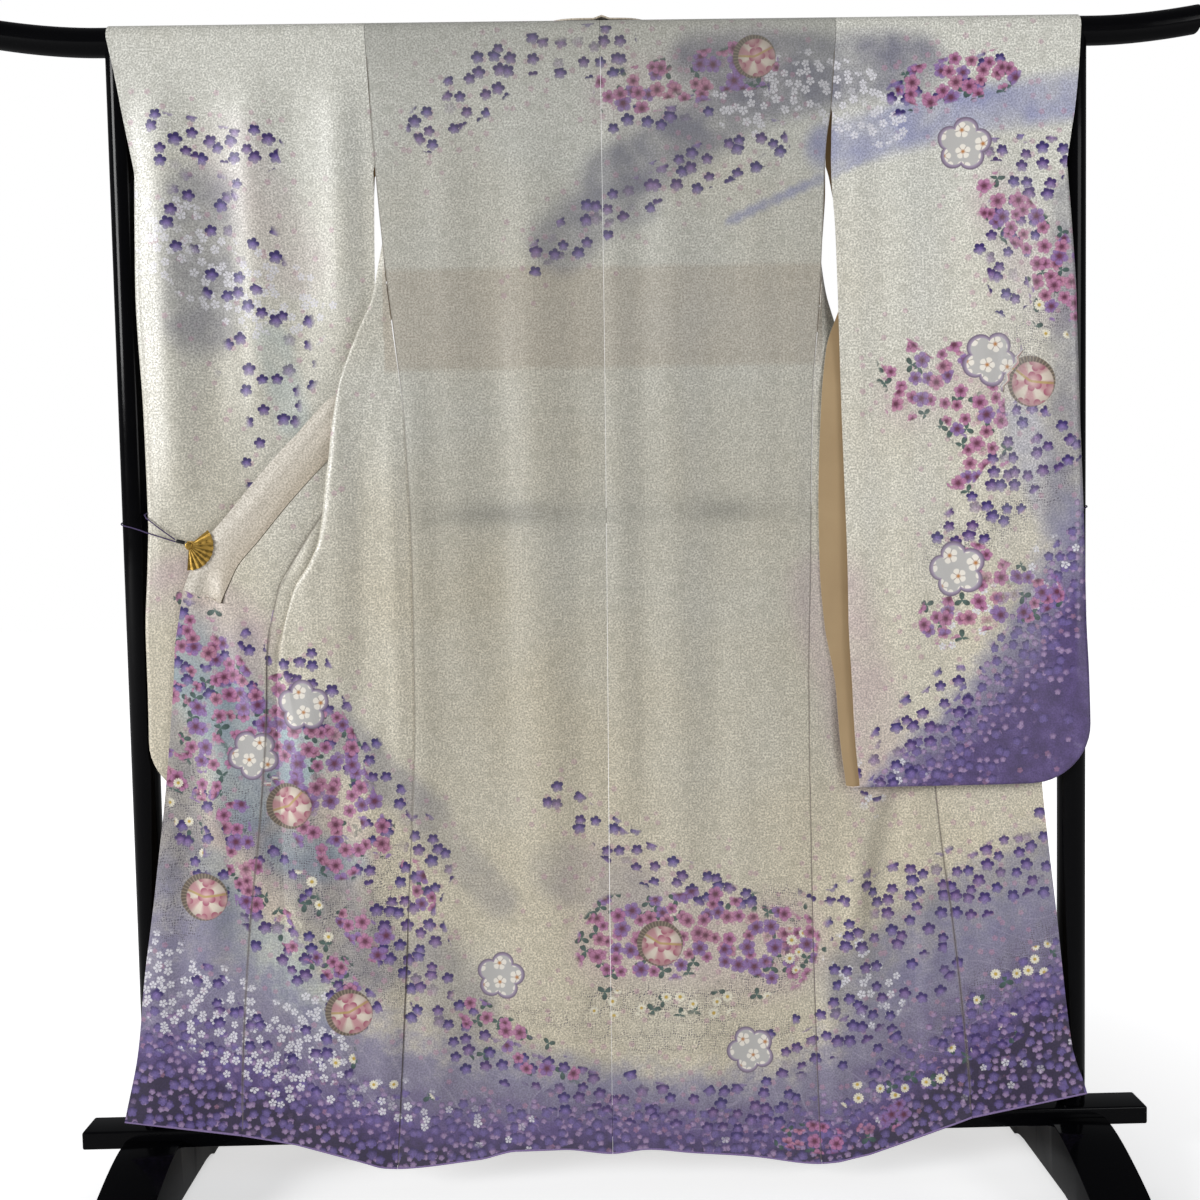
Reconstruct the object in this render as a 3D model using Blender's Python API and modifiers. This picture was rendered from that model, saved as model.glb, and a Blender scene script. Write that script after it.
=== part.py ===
"""A lined furisode kimono, shown from the back on a black lacquered kimono stand.

Units are metres, +Z is up, the floor is z = 0 and the garment's back faces -Y. The
sleeves and body hang over the stand's rod. Both fronts are swung out beside the back
and held to the posts by a fan clip on an elastic loop, the left one in front of its
sleeve and the right one behind its sleeve. Left and right are as seen from -Y.
"""

import math

import bmesh
import bpy
from mathutils import Matrix, Vector

OBJECT_NAME = "furisode_kimono_on_stand"

# Stand: a round rod on two round posts, a middle rail, a flat beam and two feet
ROD_Z = 1.611
ROD_R = 0.019
ROD_HALF = 0.826
ROD_BEND_FROM = 0.68
ROD_RISE = 0.014
POST_X = 0.652
POST_R = 0.019
RAIL_Z = 0.957
RAIL_Y = 0.006
RAIL_R = 0.0105
BEAM_HALF = 0.7525
BEAM_DEPTH = 0.048
BEAM_HEIGHT = 0.0255
BEAM_TOP = 0.106
FOOT_WIDTH = 0.080
FOOT_HALF = 0.200
FOOT_CROWN = 0.092
FOOT_RECESS = 0.011
FOOT_PAD_FROM = 0.110
TOUCH_GAP = 0.0003

# Cloth: lined silk, drawn as one wall; the collar is a doubled band
CLOTH = 0.0015
BAND = 0.0022
SEAM_GAP = 0.0005
TWIST_GAP = 0.0013
FACET_ROOM = 0.00016
WRAP_R = ROD_R + TOUCH_GAP + FACET_ROOM + CLOTH / 2
COLLAR_WRAP_R = WRAP_R + CLOTH / 2 + 2 * TOUCH_GAP + BAND / 2
SHOULDER_SPLIT = math.radians(52)
NECK_SEAM = math.radians(-14)
NECK_HALF = 0.088
SIDE_SEAM_TOP = 1.285
ARMHOLE_END = 1.43
HEM_LEVEL = 0.09
STRAIGHT_FROM = 0.45
PLEAT_HALF = 0.0019
PLEAT_NOSE = 0.004
CUFF_END = 1.421
SLEEVE_CORNER = 0.080

CENTRE_SEAM = {
    "columns": ("z", "x"),
    "rows": ((0.06, -0.008), (0.42, -0.006), (0.84, -0.002), (1.25, 0.001), (1.62, 0.002)),
}

# Half outline of the back: the side seam below the armhole, the sleeve seam above it
LEFT_SIDE = {
    "columns": ("z", "x"),
    "rows": ((0.05, -0.3100), (0.43, -0.2850), (0.70, -0.2700), (0.90, -0.2690), (1.08, -0.2745),
             (1.21, -0.2865), (1.31, -0.2970), (1.43, -0.3060), (1.62, -0.3160)),
}
RIGHT_SIDE = {
    "columns": ("z", "x"),
    "rows": ((0.04, 0.2860), (0.20, 0.2810), (0.42, 0.2770), (0.70, 0.2755), (0.89, 0.2800),
             (1.11, 0.2850), (1.26, 0.2970), (1.34, 0.3030), (1.51, 0.3160), (1.62, 0.3230)),
}

# Height of the hem from front edge to front edge; it hangs lowest at the side seams
HEM_LINE = {
    "columns": ("x", "z"),
    "rows": ((-0.687, 0.125), (-0.637, 0.119), (-0.582, 0.114), (-0.527, 0.103), (-0.458, 0.088),
             (-0.375, 0.066), (-0.310, 0.049), (-0.195, 0.058), (-0.142, 0.070), (-0.077, 0.071),
             (-0.008, 0.063), (0.043, 0.068), (0.105, 0.062), (0.188, 0.053), (0.286, 0.041),
             (0.340, 0.051), (0.394, 0.065), (0.453, 0.084), (0.497, 0.101), (0.533, 0.108),
             (0.593, 0.123), (0.664, 0.131)),
}

# Horizontal sections of each front, in millimetres, from the side edge (armhole, then side
# seam) over the pleat's outer fold and its inner turn to the overlap seam; the collar seam
# bounds the overlap panel, or the front itself where the overlap panel has run out.
FRONT_COLUMNS = ("z", "side_x", "side_y", "fold_x", "fold_y", "turn_x", "turn_y",
                 "seam_x", "seam_y", "collar_x", "collar_y", "pleat")
LEFT_FRONT = {
    "columns": FRONT_COLUMNS,
    "rows": (
        (60, -310, -34.0, -372, -38.0, -450, -33.0, -527, -36.0, -690, -34.5, 0.0),
        (220, -299, -32.0, -380, -39.0, -452, -32.0, -519, -36.0, -667, -34.0, 0.0),
        (390, -288, -30.0, -395, -39.0, -456, -31.0, -505, -36.0, -644, -33.5, 0.0),
        (560, -277, -28.5, -418, -39.0, -458, -30.5, -484, -36.0, -619, -33.5, 0.0),
        (700, -270, -27.5, -436, -39.0, -459, -30.5, -472, -35.5, -590, -34.0, 0.1),
        (780, -269, -27.0, -448, -39.0, -452, -31.0, -469, -34.5, -559, -35.0, 0.5),
        (846, -269, -26.5, -434, -39.0, -417, -33.5, -456, -33.3, -529, -35.2, 1.0),
        (870, -269, -26.5, -425, -39.0, -400, -33.5, -449, -32.8, -518, -34.9, 1.0),
        (895, -269, -26.5, -408, -38.5, -378, -33.0, -434, -31.8, -506, -34.6, 1.0),
        (930, -269, -26.5, -393, -37.5, -360, -32.0, -412, -30.5, -476, -34.2, 1.0),
        (980, -270, -26.2, -385, -36.5, -338, -29.8, -381, -28.6, -434, -32.0, 1.0),
        (1020, -272, -26.0, -380, -35.5, -322, -27.8, -358, -27.0, -398, -29.6, 1.0),
        (1045, -273, -25.8, -376, -34.8, -312, -26.5, -345, -26.0, -374, -28.2, 1.0),
        (1080, -275, -25.5, -372, -34.0, -304, -25.0, -331, -24.2, -350, -26.0, 1.0),
        (1110, -277, -25.3, -367, -33.0, -300, -24.0, -325, -22.8, -335, -23.8, 1.0),
        (1140, -280, -25.0, -361, -32.0, -298, -22.8, -320, -21.0, -324, -21.4, 1.0),
        (1175, -284, -24.8, -349, -31.0, -297, -21.6, -313, -18.8, -313, -18.8, 1.0),
        (1209, -287, -24.5, -335, -29.0, -297, -20.2, -306, -16.2, -306, -16.2, 0.9),
        (1262, -293, -24.0, -312, -26.0, -299, -18.5, -302, -12.5, -302, -12.5, 0.6),
        (1300, -297, -20.0, -306, -16.5, -302, -8.5, -292, -3.5, -292, -3.5, 0.2),
        (1350, -300, -8.0, -299, 0.0, -290, 6.0, -279, 9.0, -279, 9.0, 0.0),
        (1400, -304, 3.0, -292, 9.0, -276, 12.0, -262, 13.0, -262, 13.0, 0.0),
        (1450, -307, 12.0, -278, 14.5, -250, 16.0, -226, 16.5, -226, 16.5, 0.0),
        (1500, -310, 16.5, -266, 17.5, -224, 18.0, -188, 18.5, -188, 18.5, 0.0),
        (1550, -312, 19.0, -256, 19.5, -200, 19.5, -150, 19.5, -150, 19.5, 0.0),
        (1611, -315.5, 20.21, -250, 20.21, -176, 20.21, -108, 20.21, -108, 20.21, 0.0),
    ),
}
RIGHT_FRONT = {
    "columns": FRONT_COLUMNS,
    "rows": (
        (40, 286, -34.0, 352, -37.0, 430, -32.0, 503, -35.0, 668, -32.0, 0.0),
        (200, 281, -32.0, 348, -36.0, 425, -29.0, 491, -33.0, 642, -29.0, 0.0),
        (380, 277, -30.0, 344, -31.0, 418, -23.0, 474, -27.0, 624, -21.0, 0.0),
        (480, 276, -28.5, 338, -24.0, 408, -16.0, 463, -17.0, 615, -11.0, 0.0),
        (575, 276, -27.5, 330, -16.0, 400, -9.0, 455, -10.0, 605, -7.0, 0.0),
        (700, 275.5, -27.0, 326, -13.5, 392, -7.5, 444, -8.5, 588, -7.5, 0.1),
        (780, 277, -27.0, 360, -13.2, 374, -8.5, 437, -8.0, 559, -8.0, 0.3),
        (846, 279, -26.5, 373, -13.5, 361, -9.0, 431, -8.0, 529, -8.2, 0.9),
        (870, 279, -26.5, 379, -13.5, 350, -9.0, 428, -8.2, 518, -8.4, 1.0),
        (896, 280, -26.3, 377, -13.8, 344, -9.3, 420, -8.4, 506, -8.4, 1.0),
        (930, 281, -26.0, 372, -14.0, 338, -9.5, 410, -8.5, 477, -8.4, 1.0),
        (980, 282, -25.8, 364, -14.0, 329, -9.0, 387, -7.8, 440, -7.6, 1.0),
        (1020, 283, -25.5, 356, -13.5, 322, -8.0, 366, -6.0, 410, -6.0, 1.0),
        (1047, 284, -25.3, 352, -12.8, 318, -7.2, 355, -4.8, 390, -4.4, 1.0),
        (1080, 285, -25.0, 348, -12.0, 314, -6.2, 343, -3.0, 367, -2.4, 1.0),
        (1110, 286, -24.6, 343, -10.6, 311, -4.8, 334, -0.8, 347, -0.2, 1.0),
        (1140, 287, -24.0, 338, -9.0, 308, -3.0, 327, 1.6, 332, 2.0, 1.0),
        (1175, 290, -23.2, 331, -6.0, 306, 0.0, 319, 5.2, 319, 5.2, 0.9),
        (1209, 293, -22.5, 323, -2.5, 304, 3.6, 311, 8.4, 311, 8.4, 0.8),
        (1262, 297, -20.0, 309, 1.5, 302, 7.0, 299, 11.5, 299, 11.5, 0.4),
        (1300, 300, -12.0, 304, 4.0, 298, 9.5, 289, 12.5, 289, 12.5, 0.1),
        (1350, 304, -2.0, 300, 9.0, 286, 13.0, 272, 14.0, 272, 14.0, 0.0),
        (1400, 308, 8.0, 292, 13.5, 272, 15.5, 256, 16.0, 256, 16.0, 0.0),
        (1450, 311, 14.0, 282, 16.5, 252, 17.5, 226, 17.5, 226, 17.5, 0.0),
        (1500, 314, 17.5, 270, 18.5, 228, 19.0, 190, 19.0, 190, 19.0, 0.0),
        (1550, 317.5, 19.5, 260, 19.5, 204, 19.5, 152, 19.5, 152, 19.5, 0.0),
        (1611, 321.5, 20.21, 252, 20.21, 178, 20.21, 108, 20.21, 108, 20.21, 0.0),
    ),
}

# Front edge of each overlap panel, in millimetres, from the hem up to the collar's end
LEFT_EDGE = {
    "columns": ("z", "x", "y"),
    "rows": ((60, -700, -34.5), (125, -687, -34.5), (220, -666, -34.0), (330, -652, -33.8),
             (460, -632, -33.5), (600, -613, -33.5), (740, -598, -34.0), (800, -593, -34.6),
             (866, -580, -35.2)),
}
RIGHT_EDGE = {
    "columns": ("z", "x", "y"),
    "rows": ((60, 675, -32.0), (130, 663, -31.0), (200, 642, -29.0), (380, 624, -21.0),
             (480, 616, -11.0), (570, 608, -6.5), (740, 598, -6.5), (800, 592, -7.5),
             (866, 580, -8.0)),
}
FRONTS = {-1: LEFT_FRONT, 1: RIGHT_FRONT}
UPPER_LEVELS = (1.611, 1.56, 1.50, 1.47, 1.452, 1.436, 1.421)
CLOTH_LEVELS = UPPER_LEVELS + (1.39, 1.365, 1.343, 1.322, 1.30, 1.281, 1.262, 1.235, 1.209,
                               1.175, 1.14, 1.11, 1.08, 1.045, 1.01, 0.97, 0.93, 0.90, 0.87,
                               0.846, 0.815, 0.80, 0.78, 0.73, 0.66, 0.56, 0.45, 0.32, 0.20,
                               0.09)
COLLAR_END = 0.846
COLLAR_END_RISE = 0.0195
OVERLAP_TOP = 1.14

# Offset from the collar's seam to its free edge, in millimetres, by the seam's height; the
# band turns over with the front where both pass the gap beside the back.
BAND_COLUMNS = ("z", "out_x", "out_y", "out_z")
LEFT_BAND = {
    "columns": BAND_COLUMNS,
    "rows": ((846, -51, 0, 19.5), (870, -50, 0, 26), (895, -43, 0, 34), (930, -42, 0, 36),
             (980, -41, 0, 37), (1045, -40.5, 0, 37), (1080, -33, 0, 36), (1110, -21, 0, 24),
             (1140, -12, 2, 10), (1175, -5, 3.5, 2), (1209, 2, 6, -7), (1235, 8, 9, -14),
             (1262, 14, 9, -20), (1300, 22, 6, -24), (1350, 30, 3, -28), (1400, 39, 2.3, -30),
             (1450, 43.5, 1.8, -33), (1611, 43.5, 2.2, -33)),
}
RIGHT_BAND = {
    "columns": BAND_COLUMNS,
    "rows": ((846, 51, 0, 19.5), (870, 50, 0, 26), (895, 43, 0, 34), (930, 42, 0, 36),
             (980, 42, 0, 37), (1047, 40, 0, 36), (1080, 36, 1, 30), (1110, 28, 4, 20),
             (1140, 18, 9, 10), (1175, 8, 13, 0), (1209, -1, 14, -10), (1235, -8, 12, -18),
             (1262, -15, 8, -24), (1300, -21, 5, -24), (1350, -28, 3, -28), (1400, -40, 2.2, -31),
             (1450, -43.5, 1.8, -33), (1611, -43.5, 2.2, -33)),
}
OVER_COLLAR_END = 1.262
NECK_PLACES = (-0.096, -0.090, -0.083, -0.060, -0.040, -0.022, -0.008, 0.005, 0.013, 0.026, 0.042,
               0.062, 0.083, 0.090, 0.096)
NECK_SIDE = 0.083
NECK_PEAK = 0.004
NECK_PEAK_X = 0.005
BAND_SHARES = (0.0, 0.16, 0.32, 0.48, 0.64, 0.80, 1.0)

# Each sleeve, in millimetres: edges and depths of the near and the far layer by height
SLEEVE_COLUMNS = ("z", "near_in_x", "near_out_x", "near_in_y", "near_out_y",
                  "far_in_x", "far_out_x", "far_in_y", "far_out_y")
LEFT_SLEEVE = {
    "columns": SLEEVE_COLUMNS,
    "rows": (
        (575, -334, -634, -16.5, -24.5, -330, -634, -11.0, -20.0),
        (640, -331, -636, -17.0, -26.5, -328, -636, -9.0, -22.0),
        (720, -328, -635, -17.0, -27.0, -326, -635, -8.5, -22.0),
        (800, -325, -635, -17.0, -27.0, -324, -635, -8.0, -22.0),
        (900, -321, -629, -16.5, -27.0, -322, -629, -7.5, -22.0),
        (960, -318, -626, -16.0, -27.0, -321, -626, -7.5, -22.0),
        (1100, -315, -627, -11.0, -27.0, -320, -627, 0.0, -22.0),
        (1260, -313, -632, -10.5, -27.0, -319, -632, 8.0, -22.0),
        (1340, -311, -630.5, -16.0, -26.5, -317, -630.5, 10.0, -21.5),
        (1421, -309, -629, -20.5, -25.0, -312, -629, 10.0, -18.0),
        (1436, -309, -631, -21.3, -24.0, -311, -628, 10.5, -9.0),
        (1452, -309.5, -634, -21.3, -23.0, -309.5, -627, 12.5, 6.0),
        (1470, -310.5, -637.5, -21.2, -22.2, -310.5, -627, 14.2, 19.0),
        (1500, -312, -643, -21.0, -21.5, -312, -631, 16.5, 20.6),
        (1560, -314.5, -653, -20.5, -20.8, -314.5, -648, 19.2, 20.3),
        (1611, -317, -663, -20.21, -20.21, -317, -661, 20.21, 20.21),
    ),
}
RIGHT_SLEEVE = {
    "columns": SLEEVE_COLUMNS,
    "rows": (
        (575, 344, 667, -33.0, -27.5, 326, 667, -28.0, -23.0),
        (640, 338, 667, -34.0, -28.5, 318, 667, -27.5, -23.5),
        (720, 334, 665, -34.0, -28.5, 312, 665, -27.5, -23.5),
        (800, 330, 661, -34.0, -28.5, 298, 661, -27.5, -23.5),
        (880, 329, 659, -34.0, -28.5, 292, 659, -27.5, -23.5),
        (960, 327, 656.5, -33.5, -28.5, 291, 656.5, -27.5, -23.5),
        (1100, 323, 651, -32.0, -28.5, 296, 651, -27.0, -23.5),
        (1180, 321.5, 648.5, -30.0, -28.5, 305, 648.5, -21.5, -23.5),
        (1260, 320, 646, -28.0, -28.0, 330, 646, -8.0, -23.2),
        (1340, 318, 641, -26.0, -27.0, 328, 641, 4.0, -22.0),
        (1421, 314, 635, -22.0, -25.5, 317, 635, 10.0, -21.0),
        (1436, 314, 637, -21.5, -24.5, 314, 628.5, 12.5, -10.0),
        (1452, 314.5, 640, -21.2, -23.5, 313.5, 627, 14.5, 6.0),
        (1470, 315, 643, -21.0, -22.5, 315, 627, 15.7, 19.0),
        (1500, 316.5, 648, -20.8, -21.6, 316.5, 631, 17.5, 20.6),
        (1560, 319.5, 654, -20.5, -20.8, 319.5, 648, 19.6, 20.3),
        (1611, 324, 657, -20.21, -20.21, 323, 655, 20.21, 20.21),
    ),
}
SLEEVE_RISES = (0.0, 0.005, 0.013, 0.025, 0.041, 0.060, 0.080)
SLEEVE_LEVELS = (0.74, 0.84, 0.95, 1.06, 1.17, 1.27, 1.36) + tuple(reversed(UPPER_LEVELS))
SLEEVE_ACROSS = (0.0, 0.07, 0.25, 0.47, 0.68, 0.86, 0.96, 1.0)

# Fan clip and its elastic loop
CLIP_X = 0.570
CLIP_Z = 0.9255
FAN_R = 0.034
FAN_INNER_R = 0.002
FAN_RIBS = 9
FAN_START = math.radians(38)
FAN_END = math.radians(-95)
FAN_THICK = 0.0011
FAN_WAVE = 0.0007
HUB_R = 0.0050
JAW_REACH = 0.030
JAW_HEIGHT = 0.012
JAW_THICK = 0.0010
FERRULE_R = 0.0026
FERRULE_LENGTH = 0.011
ELASTIC_R = 0.0009
LOOP_R = POST_R + 0.0018
LOOP_Z = 0.972

COLOURS = {
    "lacquer": ((0.010, 0.010, 0.013), 0.18, 0.0),
    "silk": ((0.80, 0.77, 0.70), 0.55, 0.0),
    "collar_silk": ((0.78, 0.75, 0.68), 0.55, 0.0),
    "brass": ((0.56, 0.42, 0.16), 0.35, 1.0),
    "elastic": ((0.045, 0.025, 0.075), 0.70, 0.0),
    "black_plastic": ((0.012, 0.012, 0.014), 0.30, 0.0),
}


def clear_scene():
    for item in list(bpy.data.objects):
        bpy.data.objects.remove(item, do_unlink=True)


def make_collection(name):
    group = bpy.data.collections.new(name)
    bpy.context.scene.collection.children.link(group)
    return group


def make_material(name):
    colour, roughness, metallic = COLOURS[name]
    material = bpy.data.materials.new(name)
    material.use_nodes = True
    shader = material.node_tree.nodes["Principled BSDF"]
    shader.inputs["Base Color"].default_value = (*colour, 1.0)
    shader.inputs["Roughness"].default_value = roughness
    shader.inputs["Metallic"].default_value = metallic
    return material


def hermite(points, at):
    """A smooth curve through (t, value) points in rising t that never overshoots them."""
    if at <= points[0][0]:
        return points[0][1]
    if at >= points[-1][0]:
        return points[-1][1]
    spans = [(b[0] - a[0], (b[1] - a[1]) / (b[0] - a[0])) for a, b in zip(points, points[1:])]
    index = next(i for i in range(len(spans)) if at <= points[i + 1][0])

    def tangent(knot):
        if knot == 0 or knot == len(spans):
            return spans[min(knot, len(spans) - 1)][1]
        before = spans[knot - 1][1]
        after = spans[knot][1]
        if before * after <= 0:
            return 0.0
        return 2 * before * after / (before + after)

    width = spans[index][0]
    t = (at - points[index][0]) / width
    start = points[index][1]
    end = points[index + 1][1]
    rise = t * t * (3 - 2 * t)
    leave = width * tangent(index) * t * (1 - t) ** 2
    arrive = width * tangent(index + 1) * t * t * (t - 1)
    return start + (end - start) * rise + leave + arrive


def read(table, name, at, unit=1.0):
    """Reads one named column at a height (or other first column), both in the table's unit."""
    place = table["columns"].index(name)
    points = sorted((row[0], row[place]) for row in table["rows"])
    return hermite(points, at / unit) * unit


def link(item, group, material):
    group.objects.link(item)
    item.data.materials.append(material)
    return item


def sheet(name, group, material, points, faces, thickness):
    """A loft's open surface, turned into a closed wall by Solidify."""
    mesh = bpy.data.meshes.new(name)
    mesh.from_pydata([tuple(point) for point in points], [], faces)
    work = bmesh.new()
    work.from_mesh(mesh)
    loose = [vertex for vertex in work.verts if not vertex.link_faces]
    bmesh.ops.delete(work, geom=loose, context="VERTS")
    bmesh.ops.recalc_face_normals(work, faces=work.faces)
    work.to_mesh(mesh)
    work.free()
    item = link(bpy.data.objects.new(name, mesh), group, material)
    wall = item.modifiers.new("wall", "SOLIDIFY")
    wall.thickness = thickness
    wall.offset = 0.0
    wall.use_even_offset = True
    wall.use_quality_normals = True
    return item


def grid_faces(row_count, column_count, first=0):
    faces = []
    for row in range(row_count - 1):
        for column in range(column_count - 1):
            corner = first + row * column_count + column
            faces.append((corner, corner + 1, corner + column_count + 1, corner + column_count))
    return faces


def lofted_sheet(name, group, material, rows, thickness):
    points = [point for row in rows for point in row]
    return sheet(name, group, material, points, grid_faces(len(rows), len(rows[0])), thickness)


def over_rod(angle, radius, x):
    """A point on the rod's wrap: -90 degrees is the viewer's side, 0 the top."""
    return Vector((x, radius * math.sin(angle), ROD_Z + radius * math.cos(angle)))


def height_at(level, hem):
    """Levels keep their height above STRAIGHT_FROM and follow the hem's line below it."""
    if level >= STRAIGHT_FROM:
        return level
    share = (level - HEM_LEVEL) / (STRAIGHT_FROM - HEM_LEVEL)
    return hem + share * (STRAIGHT_FROM - hem)


def hem_at(x):
    return read(HEM_LINE, "z", x)


def back_depth(across, z):
    """Depth of the back's mid-surface: it leaves the rod and hangs clear of the beam."""
    fall = 1 - z / ROD_Z
    lean = -WRAP_R - 0.014 * fall
    loose = math.sin(math.pi * min(1.0, max(0.0, (ROD_Z - z) / 0.5)) / 2)
    fold = 0.0035 * loose * math.sin(math.pi * across) * math.cos(2.3 * math.pi * across + 1.1)
    return lean + fold * (1 - 0.35 * fall)


def back_point(side, across, z):
    outline = LEFT_SIDE if side < 0 else RIGHT_SIDE
    middle = read(CENTRE_SEAM, "x", z) + side * SEAM_GAP / 2
    edge = read(outline, "x", z)
    return Vector((middle + (edge - middle) * across, back_depth(across, z), z))


def arc_angles(start, end):
    """Angles over the rod, in steps small enough for the cloth to clear its facets."""
    count = math.ceil((end - start) / math.radians(15.001))
    return [start + (end - start) * step / count for step in range(count + 1)]


def build_back(side, name, group, material):
    """One half of the back, from the hem up and over the rod, with the neck cut out."""
    columns = (0.0, 0.14, 0.28, 0.50, 0.70, 0.88, 1.0)
    neck_columns = 3
    rows = []
    for level in reversed(CLOTH_LEVELS):
        row = []
        for across in columns:
            hem = hem_at(back_point(side, across, HEM_LEVEL).x)
            row.append(back_point(side, across, height_at(level, hem)))
        rows.append(row)
    places = [back_point(side, across, ROD_Z).x for across in columns]
    for angle in arc_angles(-math.pi / 2, NECK_SEAM)[1:]:
        rows.append([over_rod(angle, WRAP_R, x) for x in places])
    neck_row = len(rows) - 1
    for angle in arc_angles(NECK_SEAM, SHOULDER_SPLIT)[1:]:
        rows.append([over_rod(angle, WRAP_R, x) for x in places])
    width = len(columns)
    faces = [face for face in grid_faces(len(rows), width)
             if face[0] // width < neck_row or face[0] % width >= neck_columns - 1]
    points = [point for row in rows for point in row]
    return sheet(name, group, material, points, faces, CLOTH)


def front_key(table, name, z):
    unit = 0.001
    return Vector((read(table, name + "_x", z, unit), read(table, name + "_y", z, unit)))


def front_side(table, side, z):
    """The front's side edge: on the back's side seam, and free of it above the seam's top."""
    own = front_key(table, "side", z)
    seam = back_point(side, 1.0, z)
    turned = min(1.0, max(0.0, (z - 1.15) / 0.06))
    sewn = Vector((seam.x + side * (SEAM_GAP + turned * CLOTH / 2), seam.y))
    share = min(1.0, max(0.0, (z - SIDE_SEAM_TOP + 0.02) / 0.03))
    return sewn.lerp(own, share)


def nose(before, tip, after, bend):
    """Three points round a pleat's fold, its two layers PLEAT_HALF to each side of the tip."""
    reach_in = min(PLEAT_NOSE, 0.3 * (before - tip).length)
    reach_out = min(PLEAT_NOSE, 0.3 * (after - tip).length)
    lead = tip + (before - tip).normalized() * reach_in
    tail = tip + (after - tip).normalized() * reach_out
    return lead, tip, tail, Vector((0.0, PLEAT_HALF * bend))


def front_section(table, side, z):
    """Plan of one front at one height, from side edge to overlap seam."""
    bend = read(table, "pleat", z, 0.001) / 0.001
    start = front_side(table, side, z)
    fold = front_key(table, "fold", z)
    turn = front_key(table, "turn", z)
    seam = front_key(table, "seam", z)
    lead, tip, tail, half = nose(start, fold, turn, bend)
    lead_in, inner, lead_out, _ = nose(fold, turn, seam, bend)
    billow = Vector((0.0, -0.002 * math.sin(math.pi * min(1.0, z / 0.6))))
    return [
        start,
        start.lerp(lead - half, 0.35) + billow,
        start.lerp(lead - half, 0.70) + billow * 0.5,
        lead - half,
        tip,
        tail + half,
        lead_in - half * 0.2,
        inner + half * 0.6,
        lead_out + half * 1.4,
        (lead_out + half * 1.4).lerp(seam, 0.55),
        seam,
    ]


def front_row(table, side, level):
    """A section's points, each lowered to its own place on the hem."""
    flat = front_section(table, side, max(level, HEM_LEVEL))
    row = []
    for index, point in enumerate(flat):
        z = height_at(level, hem_at(point.x))
        exact = front_section(table, side, z)[index]
        row.append(Vector((exact.x, exact.y, z)))
    return row


def build_front(side, table, name, group, material):
    """One front with its half shoulder: from the rod's far side down through the pleat."""
    places = [point.x for point in front_section(table, side, ROD_Z)]
    start = SHOULDER_SPLIT + SEAM_GAP / WRAP_R
    rows = [[over_rod(angle, WRAP_R, x) for x in places]
            for angle in arc_angles(start, math.pi / 2)[:-1]]
    rows += [front_row(table, side, level) for level in CLOTH_LEVELS]
    return lofted_sheet(name, group, material, rows, CLOTH)


def overlap_row(start, end):
    return [start.lerp(end, across) for across in (0.0, 0.25, 0.5, 0.75, 1.0)]


def overlap_seam(table, side, z):
    seam = front_key(table, "seam", z)
    return Vector((seam.x + side * SEAM_GAP, seam.y, z))


def on_collar_seam(table, side, z):
    place = front_key(table, "collar", z)
    return Vector((place.x - side * SEAM_GAP, place.y, z))


def on_front_edge(edge_table, z):
    return Vector((read(edge_table, "x", z, 0.001), read(edge_table, "y", z, 0.001), z))


def build_overlap(side, table, edge_table, name, group, material):
    """The overlap panel (okumi): full width below the collar's squared end, a taper above."""
    rows = []
    for z in (level for level in CLOTH_LEVELS if COLLAR_END < level < OVERLAP_TOP + 1e-6):
        rows.append(overlap_row(overlap_seam(table, side, z), on_collar_seam(table, side, z)))
    under_seam = on_collar_seam(table, side, COLLAR_END)
    under_seam.z -= SEAM_GAP
    under_edge = on_front_edge(edge_table, COLLAR_END + COLLAR_END_RISE - SEAM_GAP)
    above_end = on_collar_seam(table, side, 0.858)
    rows.append(overlap_row(overlap_seam(table, side, COLLAR_END), above_end))
    rows.append(overlap_row(overlap_seam(table, side, 0.815), under_seam))
    rows.append(overlap_row(overlap_seam(table, side, 0.80), under_edge))
    for level in (level for level in CLOTH_LEVELS if level < 0.79):
        seam = overlap_seam(table, side, max(level, HEM_LEVEL))
        seam = overlap_seam(table, side, height_at(level, hem_at(seam.x)))
        edge = on_front_edge(edge_table, max(level, HEM_LEVEL))
        edge = on_front_edge(edge_table, height_at(level, hem_at(edge.x)))
        rows.append(overlap_row(seam, edge))
    return lofted_sheet(name, group, material, rows, CLOTH)


def band_section(table, front, z):
    """Points across the collar band, from its seam to its free edge."""
    out = Vector(read(table, "out_" + axis, z, 0.001) for axis in "xyz")
    place = front_key(front, "collar", z)
    twist = min(1.0, max(0.0, (z - 1.10) / 0.04)) * min(1.0, max(0.0, (1.36 - z) / 0.04))
    aside = Vector((out.x, out.y, 0.0)).normalized() * TWIST_GAP * twist
    seam = Vector((*place, z)) + out.normalized() * SEAM_GAP + aside
    free = Vector((*place, z)) + out
    return [seam.lerp(free, share) for share in BAND_SHARES]


def neck_sections():
    """The over-collar round the back of the neck, bent over the rod."""
    sections = []
    for x in NECK_PLACES:
        across = x / NECK_SIDE
        seam_angle = NECK_SEAM - 0.16 + math.radians(62) * abs(across) ** 2.4
        peak = NECK_PEAK * max(0.0, 1 - abs(x - NECK_PEAK_X) / 0.011)
        drop = 0.017 + 0.010 * across * across
        points = []
        for share in (0.0, 0.2, 0.4, 0.6, 0.8, 1.0):
            angle = seam_angle + (math.pi / 2 - seam_angle) * share
            point = over_rod(angle, COLLAR_WRAP_R, x * (1 - 0.18 * share))
            point.z += peak * (1 - share) ** 2
            points.append(point)
        draw_in = 0.74 - 0.35 * max(0.0, abs(across) - 1)
        points.append(Vector((x * draw_in, COLLAR_WRAP_R, ROD_Z - drop)))
        sections.append(points)
    return sections


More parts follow.
